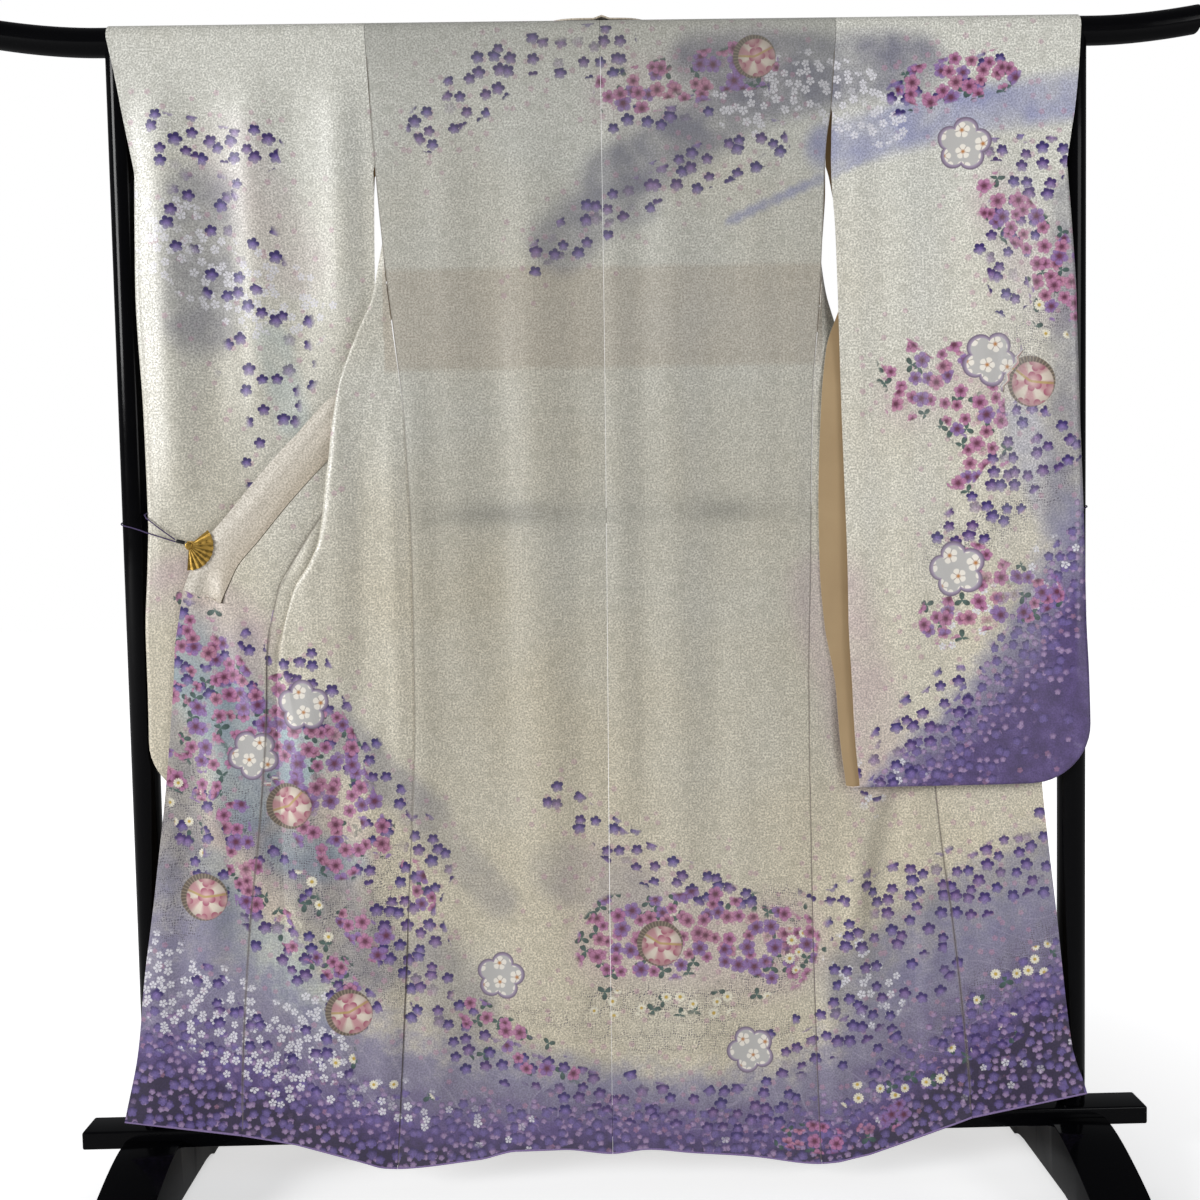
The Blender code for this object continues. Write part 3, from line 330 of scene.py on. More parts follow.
for side, word in ((-1, "left"), (1, "right")):
    foot = blank("cube", (FOOT_WIDTH, FOOT_DEPTH, 1.0), size=1, location=(side * POST_X, 0, 0.5))
    edit(foot)
    slice_at("y", [-y for y in FOOT_CUTS] + FOOT_CUTS)
    bpy.ops.object.mode_set(mode="OBJECT")
    for vertex in foot.data.vertices:
        out = abs(vertex.co.y) * 1000
        if vertex.co.z > 0.5:
            seat = (BEAM_TOP - BEAM_HEIGHT - TOUCH_GAP) * 1000
            vertex.co.z = (seat if out < 24.15 else float(read(FOOT_PROFILE, "top_mm", out))) / 1000
        else:
            vertex.co.z = float(read(FOOT_ARCH, "under_mm", out)) / 1000
    edges = foot.modifiers.new("eased", "BEVEL")
    edges.width = 0.0016
    edges.segments = 3
    edges.limit_method = "ANGLE"
    edges.angle_limit = math.radians(50)
    alone(foot)
    bpy.ops.object.modifier_apply(modifier="eased")
    settle(foot, "lacquered_foot_" + word, lacquer, "lacquer", "foot_" + word)

# Dye work: the white silk is basted together and dyed flat, so the design runs on across the
# seams: mists and a violet hem brushed with soft edges, and blossoms, leaves, chrysanthemums,
# dots, framed medallions and thread balls printed and painted over them.

# Drifts of each kind, in mm on the cut: how wide, how full, then the line they follow, x and z
DRIFTS = {
    "violet": ((35, 1, 15, 1588, -133, 1570, -229, 1479), (22, 0.7, 217, 1533, 122, 1501, 27, 1482),
        (32, 1, 230, 1460, 52, 1395, -85, 1310), (22, 0.6, 407, 1517, 556, 1562),
        (35, 1, 611, 1441, 542, 1294, 556, 1254), (41, 1, 625, 1049, 542, 982, 479, 928),
        (41, 0.8, 485, 706, 401, 638, 366, 583), (30, 0.9, -598, 1484, -458, 1456),
        (66, 0.58, -540, 1380, -480, 1290), (66, 0.52, -480, 1290, -455, 1180),
        (48, 0.5, -455, 1180, -452, 1030), (40, 0.45, -593, 1431, -542, 1351),
        (32, 1, -267, 526, -241, 470), (30, 0.6, -572, 491, -492, 391),
        (38, 1, -268, 498, -285, 372, -259, 286, -191, 213, -80, 168, 46, 136, 200, 118),
        (30, 1, -72, 564, 10, 492, 120, 447, 176, 411), (30, 0.6, 370, 185, 512, 211, 625, 265),
        (19, 0.9, -586, 790, -567, 727), (15, 0.8, -500, 802, -478, 764),
        (23, 0.9, -524, 761, -480, 695), (37, 0.95, -419, 755, -361, 640, -291, 516),
        (22, 0.9, -562, 581, -530, 511), (22, 0.9, -489, 506, -438, 449),
        (21, 0.9, -381, 506, -343, 469), (33, 0.95, -273, 400, -239, 314),
        (22, 0.8, -568, 329, -535, 279), (25, 0.8, -318, 429, -307, 337),
        (58, 1, 346, 343, 463, 411, 614, 479), (33, 0.95, 229, 192, 328, 229, 402, 270),
        (22, 1, 529, 1440, 641, 1438), (28, 0.9, 542, 1362, 531, 1295),
        (28, 0.9, 583, 1090, 528, 1009, 507, 941), (36, 0.45, -591, 1484, -556, 1337),
        (70, 0.55, 372, 371, 470, 411, 611, 479), (60, 0.55, 243, 188, 343, 258, 442, 327),
        (50, 0.5, -607, 280, -511, 235, -401, 204), (40, 0.9, 355, 407, 407, 434, 456, 440),
        (12, 0.6, 260, 430, 302, 415, 361, 453), (22, 0.9, -605, 728, -543, 741),
        (22, 0.9, -591, 533, -573, 463), (36, 0.9, -505, 433, -438, 347, -357, 274)),
    "pink": ((32, 1, 28, 1529, 122, 1547, 217, 1566), (30, 1, 434, 1530, 543, 1555),
        (35, 0.9, 542, 1375, 611, 1307, 624, 1239), (35, 0.8, 404, 1161, 473, 1106, 528, 1050),
        (32, 1, 458, 804, 597, 836), (38, 1, -562, 782, -470, 656, -378, 501),
        (57, 1, 7, 365, 119, 377, 231, 353), (24, 0.6, -204, 271, -107, 211),
        (30, 0.8, 500, 880, 560, 850), (19, 0.8, -580, 851, -555, 796), (28, 0.9, -594, 714, -546, 637),
        (22, 0.9, -522, 553, -502, 433), (22, 0.9, -454, 725, -395, 627), (28, 1, -403, 599, -378, 522),
        (22, 0.9, -367, 409, -327, 366), (17, 0.8, -460, 404, -435, 364),
        (19, 0.8, -403, 353, -363, 303), (17, 0.8, -279, 477, -263, 428), (19, 0.9, 242, 81, 299, 72),
        (19, 0.8, 348, 88, 398, 118), (28, 0.9, 411, 1100, 480, 1153),
        (22, 0.9, 521, 1112, 521, 1051, 486, 1003), (17, 0.5, -191, 213, -52, 174),
        (26, 1, -615, 624, -561, 595), (26, 0.9, -509, 726, -481, 656),
        (24, 0.9, -387, 682, -348, 584, -323, 513)),
    "white": ((46, 0.8, 190, 1513, 285, 1539, 379, 1497), (59, 0.8, -596, 1351, -518, 1283, -424, 1255),
        (68, 0.9, -647, 324, -552, 265, -443, 205), (35, 0.3, -416, 176, -277, 130),
        (35, 0.15, -277, 130, -138, 97), (27, 0.1, -138, 97, 30, 72), (27, 0.08, 30, 72, 200, 60),
        (41, 0.65, 329, 329, 371, 271), (46, 0.1, 341, 114, 511, 153), (46, 0.12, 511, 153, 653, 207),
        (41, 0.3, 485, 776, 625, 884), (41, 0.25, 359, 569, 401, 610), (36, 0.8, -413, 276, -401, 204)),
    "kiku": ((19, 0.9, 232, 417, 259, 331, 146, 269, -22, 281), (24, 0.8, 519, 282, 597, 323),
        (19, 0.8, 427, 162, 483, 197), (24, 0.6, -435, 460, -397, 346), (19, 0.6, 597, 1226, 624, 1185),
        (17, 0.9, 327, 136, 455, 163), (14, 0.9, 540, 207, 557, 235), (22, 0.8, -592, 589, -585, 505),
        (19, 0.7, -392, 261, -380, 204), (17, 0.7, -332, 174, -270, 144)),
    "stipple": ((30, 0.9, 232, 417, 259, 331, 146, 269, -22, 281), (32, 0.8, 624, 1239, 583, 1186),
        (30, 0.8, 458, 887, 625, 994), (46, 0.8, -435, 460, -528, 574),
        (30, 0.8, 427, 162, 519, 282, 625, 365), (22, 0.5, 123, 1567, 217, 1526),
        (30, 0.9, -589, 603, -579, 498), (33, 1, -421, 474, -408, 417), (33, 0.8, -323, 499, -314, 309),
        (22, 0.8, 33, 222, 230, 232), (17, 0.7, -134, 269, 33, 222),
        (40, 0.9, -637, 590, -606, 506, -602, 407), (40, 0.8, -433, 530, -394, 431, -355, 345)),
    "mist_lilac": ((49, 1, 393, 1564, 217, 1526, 12, 1409), (35, 0.6, -57, 1344, 52, 1382),
        (41, 0.8, 652, 1374, 645, 1158, 638, 939), (54, 0.7, -541, 1390, -547, 1230),
        (46, 0.4, -74, 466, 36, 421), (62, 0.9, 343, 300, 484, 382, 639, 450),
        (54, 0.6, -258, 343, -204, 256), (41, 0.5, -191, 213, 4, 151),
        (33, 0.7, -382, 675, -320, 604, -253, 547), (55, 0.8, -622, 436, -549, 350),
        (30, 0.5, -507, 795, -480, 684), (47, 0.8, -57, 1330, 108, 1474, 271, 1565),
        (47, 0.95, 136, 1567, 430, 1560), (46, 0.45, -582, 796, -544, 713),
        (46, 0.55, -544, 713, -482, 615), (62, 0.8, -621, 659, -613, 506),
        (62, 0.95, -613, 506, -555, 392), (62, 0.8, -500, 573, -407, 459, -341, 345),
        (30, 0.45, -367, 647, -267, 547, -159, 425)),
    "mist_blue": ((35, 1, 311, 1452, 488, 1496, 658, 1518), (54, 1, -590, 769, -510, 685, -444, 628),
        (7, 0.9, 174, 1354, 379, 1444), (35, 0.6, 569, 1077, 625, 939),
        (27, 0.4, -453, 1202, -429, 1094), (39, 0.9, -557, 727, -545, 685),
        (36, 0.9, -513, 601, -501, 559), (30, 0.7, -447, 509, -365, 486),
        (28, 0.6, -465, 376, -438, 347), (40, 1, -577, 741, -531, 671, -507, 573),
        (34, 0.9, -454, 502, -393, 487), (36, 0.6, -552, 476, -494, 348, -399, 275)),
    "mist_pink": ((54, 0.9, -586, 865, -507, 795), (59, 0.6, -562, 782, -378, 501),
        (54, 0.4, 28, 1529, 217, 1566), (49, 0.5, 542, 1375, 624, 1239), (76, 0.7, 7, 365, 231, 353),
        (54, 0.4, -499, 1456, -423, 1309), (41, 0.8, -595, 824, -508, 767),
        (41, 0.7, -529, 532, -491, 433), (47, 0.5, 411, 1107, 542, 1132),
        # the rose mist from (300, 850) to (372, 600) runs along the right sleeve's inner edge; it is dye
        # and partly painted shade cast by the sleeve
        (60, 0.75, 300, 850, 372, 600), (69, 0.4, -19, 450, 203, 332)),
}
TUCK_LOW, TUCK_HIGH = 1.157, 1.298
# Generic framed medallions (1) and thread balls (2): x, z and radius in mm, turn in degrees
CRESTS = (
    (1, 495, 1452, 37, 10), (1, 526, 1160, 38, -14), (1, 480, 874, 39, 30), (1, -421, 704, 36, 20),
    (1, -492, 637, 35, -25), (1, -160, 318, 34, 8), (1, 188, 206, 34, 40),
    (2, 211, 1574, 30, 12), (2, 584, 1130, 36, -20), (2, -445, 565, 33, 30), (2, -566, 441, 34, -8),
    (2, -371, 274, 34, 16), (2, 63, 360, 33, -18),
)
# Heights where the pale violet wash starts and where it turns deep, across the hem of the body
# and on the outer corner of the right sleeve
HEM_DYE = {
    "columns": ("x", "wash", "deep"),
    "rows": ((-700, 470, 245), (-641, 485, 255), (-573, 450, 232), (-506, 391, 212), (-438, 347, 182),
             (-370, 310, 152), (-301, 273, 133), (-232, 243, 126), (-163, 222, 124), (-80, 206, 126),
             (4, 194, 122), (117, 184, 114), (201, 190, 108), (258, 212, 110), (300, 256, 114),
             (343, 322, 130), (400, 396, 165), (470, 436, 226), (540, 463, 267), (625, 492, 315),
             (680, 500, 335)),
}
SLEEVE_DYE = {
    "columns": ("x", "wash", "deep"),
    "rows": ((320, 545, 505), (338, 569, 534), (373, 608, 560), (429, 663, 600), (485, 720, 640),
             (541, 809, 702), (583, 885, 757), (625, 953, 825), (670, 1030, 905)),
}
DRIFT_SETS = (("blossoms", ("violet", "pink", "white")), ("small_motifs", ("kiku", "stipple", "smudge")),
              ("mists", ("mist_lilac", "mist_blue", "mist_pink")))


def drift(kind, x, z, widen=1.0):
    """How fully one kind of motif drifts over each place, from 0 to 1."""
    full = np.zeros_like(x)
    for wide, share, *path in DRIFTS[kind]:
        for x0, z0, x1, z1 in zip(path[::2], path[1::2], path[2::2], path[3::2]):
            run = np.array((x1 - x0, z1 - z0), float)
            along = np.clip(((x - x0) * run[0] + (z - z0) * run[1]) / run.dot(run), 0, 1)
            away = np.hypot(x - x0 - run[0] * along, z - z0 - run[1] * along) / (wide * widen)
            fade = np.clip((1.25 - away) / 0.75, 0, 1)
            full = np.maximum(full, share * fade * fade * (3 - 2 * fade))
    return full


def off_line(line, places):
    """Distance of each place from a line of points, in the plane or in space."""
    line = np.asarray(line, float)
    near = np.full(len(places), 9.0)
    for start, run in zip(line, np.diff(line, axis=0)):
        share = np.clip((places - start).dot(run) / run.dot(run), 0, 1)
        near = np.minimum(near, np.linalg.norm(places - start - share[:, None] * run, axis=1))
    return near


def write_down(mesh, name, *columns):
    """Keeps three numbers of each point in the mesh, where the silk's material reads them."""
    layer = mesh.attributes.new(name, "FLOAT_VECTOR", "POINT")
    layer.data.foreach_set("vector", np.stack(columns, axis=-1).ravel())


def mark_pattern(mesh, points, spots, dye=HEM_DYE, painted_shade_weight=0.0, seams=()):
    """Writes onto a piece where each kind of motif drifts, how deep its violet dye is, where painted
    shade stands for the tuck and the dark behind, and where each place lies in the nearest medallion or
    ball."""
    x, z = spots[:, 0] * 1000, spots[:, 1] * 1000
    values = {kind: drift(kind, x, z) for _, kinds in DRIFT_SETS for kind in kinds if kind != "smudge"}
    values["smudge"] = np.maximum(drift("violet", x, z, 2.4), drift("pink", x, z, 2.6))
    if dye is None:
        values = {kind: value * np.clip((z - 820) / 60, 0, 1) for kind, value in values.items()}
    for name, kinds in DRIFT_SETS:
        write_down(mesh, name, *(values[kind] for kind in kinds))
    depth = np.full_like(x, -5.0)
    if dye:
        wash, deep = read(dye, "wash", x), read(dye, "deep", x)
        depth = np.where(z > deep, (wash - z) / (wash - deep), 1 + (deep - z) / 70)
    on_sleeve = dye is SLEEVE_DYE
    strewn = np.clip((depth - 0.75) / 0.3, 0, 0.85)
    if on_sleeve:
        strewn = np.clip((depth - 0.1) / 0.4, 0, 0.95) * np.clip((3.3 - depth) / 2.2, 0.12, 1)
    near = np.full_like(x, 99.0)
    for line in seams:
        near = np.minimum(near, off_line(line, points) * 1000)
    write_down(mesh, "sewing", near, strewn, 0 * x)
    # painted shade: the tuck's doubled silk is marked here, to be darkened and warmed in the material
    tuck = np.clip((z - TUCK_LOW * 1000) / 2, 0, 1) * np.clip((TUCK_HIGH * 1000 - z) / 2, 0, 1)
    tuck = tuck * (np.abs(x) < 300) * (points[:, 1] < -0.01)
    # painted shade for the dark behind free silk: more higher up, in a band along the middle rail,
    # strongest where the back lies on it, and round the rod
    touch = np.exp(-((x + 140) / 75) ** 2) + np.exp(-((x - 165) / 45) ** 2)
    rail = np.exp(-((z - RAIL_Z * 1000 - 4) / 17) ** 2) * (0.25 + 0.75 * touch)
    lower = 0.3 + 0.7 * np.clip((z - 350) / 600, 0, 1)
    behind = painted_shade_weight * (0.68 * lower + 0.6 * rail + 0.25 * np.exp(-((z - ROD_Z * 1000) / 60) ** 2))
    write_down(mesh, "dye", np.clip(depth, -5, 1.5 if on_sleeve else 5), tuck, behind)
    crest = np.zeros((len(x), 3))
    best = np.full(len(x), 99.0)
    for kind, cx, cz, radius, turn in CRESTS:
        away = np.hypot(x - cx, z - cz) / radius
        near = away < best
        best = np.where(near, away, best)
        c, s = math.cos(math.radians(turn)), math.sin(math.radians(turn))
        u, v = (x - cx) / radius, (z - cz) / radius
        shown = np.where(away < 1.25, kind, 0)
        crest = np.where(near[:, None], np.stack([u * c + v * s, v * c - u * s, shown], axis=-1), crest)
    write_down(mesh, "crest", *crest.T)


def scattered(place, cell_mm, size, petals, shift, slender=0.34, loose=0.8):
    """One kind of blossom strewn over the cut, one to a cell. Gives sockets for how far a place
    is inside its blossom, its margin to the petals' edge, its height in the blossom and its
    distance from the heart, how near it is to a petal's middle, and the blossom's own lots."""
    scaled = add("VectorMath MULTIPLY_ADD", place, (1000 / cell_mm,) * 3, (shift, shift * 0.6, 0.0))
    cell = add("TexVoronoi", scaled, voronoi_dimensions="2D", Scale=1.0, Randomness=loose)
    own = add("SeparateColor", cell.outputs["Color"])
    away = add("VectorMath SUBTRACT", scaled, cell.outputs["Position"])
    parts = add("SeparateXYZ", away)
    angle = add("Math ARCTAN2", parts.outputs[1], parts.outputs[0])
    turned = add("Math MULTIPLY_ADD", own.outputs[0], 6.283, angle)
    lobe = add("Math ABSOLUTE", add("Math COSINE", add("Math MULTIPLY", turned, petals / 2)))
    rounded = add("Math POWER", lobe, 1.5 if slender > 0.6 else 0.55)
    radius = add("VectorMath LENGTH", away).outputs["Value"]
    grown = add("Math MULTIPLY_ADD", own.outputs[1], 0.22 * size, 0.78 * size)
    reach = add("Math MULTIPLY", grown, add("Math MULTIPLY_ADD", rounded, slender, 1 - slender))
    margin = add("Math SUBTRACT", reach, radius)
    inside = add("Math MULTIPLY", margin, 1 / 0.045, use_clamp=True)
    height = add("Math DIVIDE", parts.outputs[1], grown)
    heart = add("Math DIVIDE", radius, grown)
    return SimpleNamespace(inside=inside, margin=margin, height=height, heart=heart, lobe=lobe,
                           chance=own.outputs[2], lot=own.outputs[1])


def shown(blossom, full, strength=1.0):
    """A blossom's cover: it is there where its own chance is under the drift's fullness."""
    there = add("Math MULTIPLY", add("Math SUBTRACT", full, blossom.chance), 9.0, use_clamp=True)
    return add("Math MULTIPLY", add("Math MULTIPLY", blossom.inside, there), strength)


FLAT = {"noise_dimensions": "2D"}


def figured_ground(place):
    """The woven figure in reversed satin: a fine grain of stems and leaves, 2 mm and more,
    gathered a little into sprays."""
    stems = add("TexNoise", place, None, 400.0, 1.0, 0.6, **FLAT)
    sprays = add("TexNoise", place, None, 95.0, 1.0, 0.5, **FLAT)
    return add("Math MULTIPLY", add("MapRange", stems, 0.3, 0.68, 0.0, 1.0),
               add("MapRange", sprays, 0.35, 0.6, 0.75, 1.0))


# Figured silk (rinzu), dyed and painted: satin ground with a small woven figure that catches
# the light, soft sheen, thin dye with soft edges, and painted motifs
GROUND_TONE, FIGURE_TONE = "#cbcabf", "#f1f0e7"
rinzu, tree, shader = new_finish("rinzu_silk_dyed_and_painted", 0.5, Sheen_Weight=0.15,
                                 Sheen_Roughness=0.35, Specular_IOR_Level=0.75)
place = add("UVMap", uv_map="cut")
figure = figured_ground(place)
sprig = scattered(place, 36.0, 0.24, 5, 41.3)
shaped = add("Math MULTIPLY", figure, add("Math MULTIPLY_ADD", sprig.inside, -0.45, 1.0))
colour = add("MixRGB", shaped, GROUND_TONE, FIGURE_TONE)
# the silk is tinted warmer towards the hem, and in broad patches
flow = add("SeparateXYZ", place)
patchy = add("TexNoise", place, None, 4.0, 2.0, 0.5, **FLAT)
warmth = add("Math ADD", add("MapRange", flow.outputs[1], 1.5, 0.5), add("Math SUBTRACT", patchy, 0.5))
colour = add("MixRGB", add("MapRange", warmth, 0.0, 1.0, 0.0, 0.9), colour, "#f7ecd9",
             blend_type="MULTIPLY")
blossoms, small, mists, dye, sewing = (
    add("SeparateXYZ", add("Attribute", attribute_name=name).outputs["Vector"]).outputs
    for name in ("blossoms", "small_motifs", "mists", "dye", "sewing"))
violet_full, pink_full, white_full = blossoms
kiku_full, stipple_full, smudge_full = small
# painted shade: the tuck's second layer, warmer and a little darker, as less light comes through the
# doubled silk
doubled = add("Math MULTIPLY", dye[1], 0.34)
colour = add("MixRGB", doubled, colour, "#b39d84")
# brushed mists: grey lilac, periwinkle that turns turquoise on the left front, and rose
cloud = add("MapRange", add("TexNoise", place, None, 16.0, 2.0, 0.6, **FLAT), 0.3, 0.7, 0.55, 1.0)
blue = add("MixRGB", add("MapRange", flow.outputs[0], -0.36, -0.26), "#9cc0cb", "#868bc0")
for part, tint, strength in ((2, "#c39db2", 0.45), (1, blue, 0.78), (0, "#737387", 0.88)):
    full = add("Math MULTIPLY", add("Math MULTIPLY", mists[part], cloud), strength)
    colour = add("MixRGB", full, colour, tint)
# violet hem: a pale wash that starts softly, then deep violet, both mottled by the brush
brush = add("TexNoise", place, None, 38.0, 3.0, 0.65, **FLAT)
depth = add("Math MULTIPLY_ADD", add("Math SUBTRACT", brush, 0.5), 0.8, dye[0])
washed = add("MapRange", depth, -0.25, 0.6, 0.0, 0.88, interpolation_type="SMOOTHSTEP")
wash = add("MixRGB", add("MapRange", depth, 0.0, 0.9), "#9a99b2", "#6f678f")
colour = add("MixRGB", washed, colour, wash)
deepened = add("MapRange", depth, 0.65, 1.5, 0.0, 0.95, interpolation_type="SMOOTHSTEP")
violet = add("MixRGB", add("MapRange", depth, 1.35, 1.9), "#5f4a87", "#28193f")
colour = add("MixRGB", deepened, colour, violet)
# stream lines: thin pale curves through the wash
current = add("TexNoise", place, None, 5.5, 0.0, **FLAT)
ripple = add("Math FRACT", add("Math MULTIPLY", current, 9.0))
line = add("MapRange", add("Math ABSOLUTE", add("Math SUBTRACT", ripple, 0.5)), 0.02, 0.04, 0.22, 0.0)
in_wash = add("Math MULTIPLY", add("MapRange", depth, 0.2, 0.6),
              add("MapRange", depth, 1.2, 1.45, 1.0, 0.0))
colour = add("MixRGB", add("Math MULTIPLY", line, in_wash), colour, "#c5bdd2")
# stippled streams: dots in wavering rows, darker along a net of hexagons
waver = add("VectorMath SCALE", add("TexNoise", place, None, 22.0, 0.0, **FLAT),
            None, None, 5.0)
dotted = add("VectorMath MULTIPLY_ADD", place, (1000 / 3.3,) * 3, waver)
lattice = add("TexVoronoi", dotted, voronoi_dimensions="2D", Scale=1.0, Randomness=0.3)
dot = add("MapRange", lattice.outputs["Distance"], 0.26, 0.36, 1.0, 0.0)
HEXAGON, HALF_HEXAGON = (1.0, math.sqrt(3), 1.0), (0.5, math.sqrt(3) / 2, 0.0)
netted = add("VectorMath SCALE", place, None, None, 1000 / 23)
nets = []
for moved in (netted, add("VectorMath ADD", netted, HALF_HEXAGON)):
    local = add("VectorMath WRAP", moved, HEXAGON, (0.0, 0.0, 0.0))
    local = add("VectorMath ABSOLUTE", add("VectorMath SUBTRACT", local, HALF_HEXAGON))
    slanted = add("VectorMath DOT_PRODUCT", local, (0.5, math.sqrt(3) / 2, 0.0)).outputs["Value"]
    nets.append(add("Math MAXIMUM", add("SeparateXYZ", local), slanted))
net = add("Math MINIMUM", *nets)
dark_dots = add("MapRange", net, 0.38, 0.44, 0.3, 1.0)
dot = add("Math MULTIPLY", dot, add("Math MULTIPLY", stipple_full, dark_dots))
colour = add("MixRGB", dot, colour, "#57505f")
# faint rose petals along the streams, and pale blossoms in the hem
petal = scattered(place, 20.0, 0.25, 5, 3.1)
colour = add("MixRGB", shown(petal, add("Math MULTIPLY", smudge_full, 0.62), 0.42),
             colour, "#c18ba6")
for cell, size, shift, pale, dark in ((13.0, 0.44, 7.3, "#b096be", "#684b80"),
                                      (18.0, 0.48, 9.7, "#7564a4", "#352560")):
    bloom = scattered(place, cell, size, 5, shift)
    rising = add("Math MULTIPLY_ADD", bloom.height, 0.6, bloom.heart)
    tone = add("MixRGB", add("MapRange", rising, 0.2, 1.2), pale, dark)
    colour = add("MixRGB", shown(bloom, sewing[1], 0.85), colour, tone)
# small white blossoms, their petals parted
bloom = scattered(place, 14.5, 0.48, 5, 11.9, 0.5)
parted = add("MapRange", bloom.lobe, 0.2, 0.45)
drawn = add("Math MULTIPLY", parted, add("MapRange", bloom.heart, 0.12, 0.24, 0.3, 0.9))
full = add("Math MULTIPLY", shown(bloom, white_full), drawn)
colour = add("MixRGB", full, colour, "#eae8ee")
# leaves in threes, dark green, at the edge of the rose blossoms and by the chrysanthemums
leaf = scattered(place, 27.0, 0.48, 3, 21.3, 0.92)
green = add("MixRGB", leaf.heart, "#4c6a62", "#233f3c")
rim = add("Math MULTIPLY", pink_full, add("Math SUBTRACT", 1.2, pink_full))
leafy = add("Math MULTIPLY_ADD", rim, 1.6, add("Math MULTIPLY", kiku_full, 0.6))
colour = add("MixRGB", shown(leaf, leafy, 0.95), colour, green)
# violet blossoms: petals ink-dark along their upper edges, fading to the heart and downwards
bloom = scattered(place, 22.0, 0.48, 5, 14.7, 0.40)
pale = add("MixRGB", bloom.chance, "#8a74bb", "#a581b3")
dark = add("MixRGB", bloom.chance, "#2b1a66", "#4a276a")
rising = add("Math MULTIPLY_ADD", bloom.height, 0.6, bloom.heart)
tone = add("MixRGB", add("MapRange", rising, -0.05, 0.75), pale, dark)
full = shown(bloom, add("Math MULTIPLY", violet_full, 0.95))
full = add("Math MULTIPLY", full, add("MapRange", bloom.height, -1.0, 0.0, 0.45, 1.0))
colour = add("MixRGB", full, colour, tone)
# rose blossoms: soft petals, parted a little, round a dark magenta heart; they overlap in crowds
for cell, shift in ((23.0, 17.1), (27.0, 19.4)):
    bloom = scattered(place, cell, 0.49, 5, shift, 0.36)
    petal = add("MixRGB", bloom.chance, "#bd78a6", "#c78ba0")
    petal = add("MixRGB", add("Math GREATER_THAN", bloom.lot, 0.70), petal, "#9370ae")
    petal = add("MixRGB", add("MapRange", bloom.lobe, 0.1, 0.5, 0.55, 0.0), petal, "#8a3f6e")
    tone = add("MixRGB", add("MapRange", bloom.heart, 0.16, 0.56, 1.0, 0.0), petal, "#611c40")
    full = shown(bloom, add("Math MULTIPLY", pink_full, 0.95))
    full = add("Math MULTIPLY", full, add("MapRange", bloom.heart, 0.5, 1.0, 0.97, 0.8))
    colour = add("MixRGB", full, colour, tone)
# chrysanthemums: cream petals, yellow heart
bloom = scattered(place, 25.0, 0.34, 12, 23.9, 0.3)
tone = add("MixRGB", add("MapRange", bloom.heart, 0.2, 0.42, 1.0, 0.0), "#efe9d4", "#cfae45")
colour = add("MixRGB", shown(bloom, add("Math MULTIPLY", kiku_full, 0.8)), colour, tone)
# the woven figure shows in the dyes too
grain = add("MixRGB", figure, "#dadada", "#ffffff")
colour = add("MixRGB", 1.0, colour, grain, blend_type="MULTIPLY")
# framed medallions: a mauve frame with a pale edge round small cream blossoms with orange hearts
crest = add("Attribute", attribute_name="crest").outputs["Vector"]
parts = add("SeparateXYZ", crest)
middle = add("CombineXYZ", parts.outputs[0], parts.outputs[1], 0.0)
radius = add("VectorMath LENGTH", middle).outputs["Value"]
angle = add("Math ARCTAN2", parts.outputs[1], parts.outputs[0])
lobe = add("Math ABSOLUTE", add("Math COSINE", add("Math MULTIPLY", angle, 2.5)))
is_crest = add("Math GREATER_THAN", parts.outputs[2], 0.5)
is_ball = add("Math GREATER_THAN", parts.outputs[2], 1.5)
is_frame = add("Math SUBTRACT", is_crest, is_ball)
edge = add("Math MULTIPLY_ADD", add("Math POWER", lobe, 0.7), 0.26, 0.76)
inner = add("Math SUBTRACT", edge, radius)
frame_fill = add("MapRange", inner, 0.0, 0.03)
band = add("MapRange", inner, 0.15, 0.18, 1.0, 0.0)
shade = add("MixRGB", add("MapRange", inner, 0.02, 0.14), "#65546c", "#a193a8")
bloom = scattered(middle, 720.0, 0.50, 5, 2.3, 0.36, 0.35)
cream = add("MixRGB", add("MapRange", bloom.lobe, 0.1, 0.35), "#a3968f", "#e9e3d8")
cream = add("MixRGB", add("MapRange", bloom.heart, 0.1, 0.36, 1.0, 0.0), cream, "#b4783a")
filled = add("MixRGB", bloom.inside, "#b7b5b2", cream)
filled = add("MixRGB", band, filled, shade)
colour = add("MixRGB", add("Math MULTIPLY", frame_fill, is_frame), colour, filled)
# thread balls: rose gores wound on cream, blossoms and a gold thread over them, a brown rim
ball_fill = add("MapRange", radius, 0.95, 0.99, 1.0, 0.0)
shifted = add("VectorMath ADD", middle, (-0.10, 0.07, 0.0))
inner_radius = add("VectorMath LENGTH", shifted).outputs["Value"]
gore = add("MapRange", lobe, 0.45, 0.9)
thread = add("MixRGB", gore, "#d9cdbd", "#c08e92")
bloom = scattered(shifted, 860.0, 0.5, 5, 5.4, 0.40, 0.5)
petal = add("MixRGB", add("MapRange", bloom.heart, 0.1, 0.9), "#dcb9b4", "#a04566")
thread = add("MixRGB", bloom.inside, thread, petal)
belt = add("Math ABSOLUTE", add("Math MULTIPLY_ADD", radius, -0.25, parts.outputs[1]))
thread = add("MixRGB", add("MapRange", belt, 0.03, 0.06, 0.9, 0.0), thread, "#b59a5c")
thread = add("MixRGB", add("MapRange", inner_radius, 0.5, 0.85, 0.0, 0.4), thread, "#7b5a58")
rim = add("MapRange", inner_radius, 0.82, 0.86)
turns_of_thread = add("Math SINE", add("Math MULTIPLY", angle, 40.0))
rim_tone = add("MixRGB", turns_of_thread, "#5f5348", "#8b7d6a")
ball = add("MixRGB", rim, thread, rim_tone)
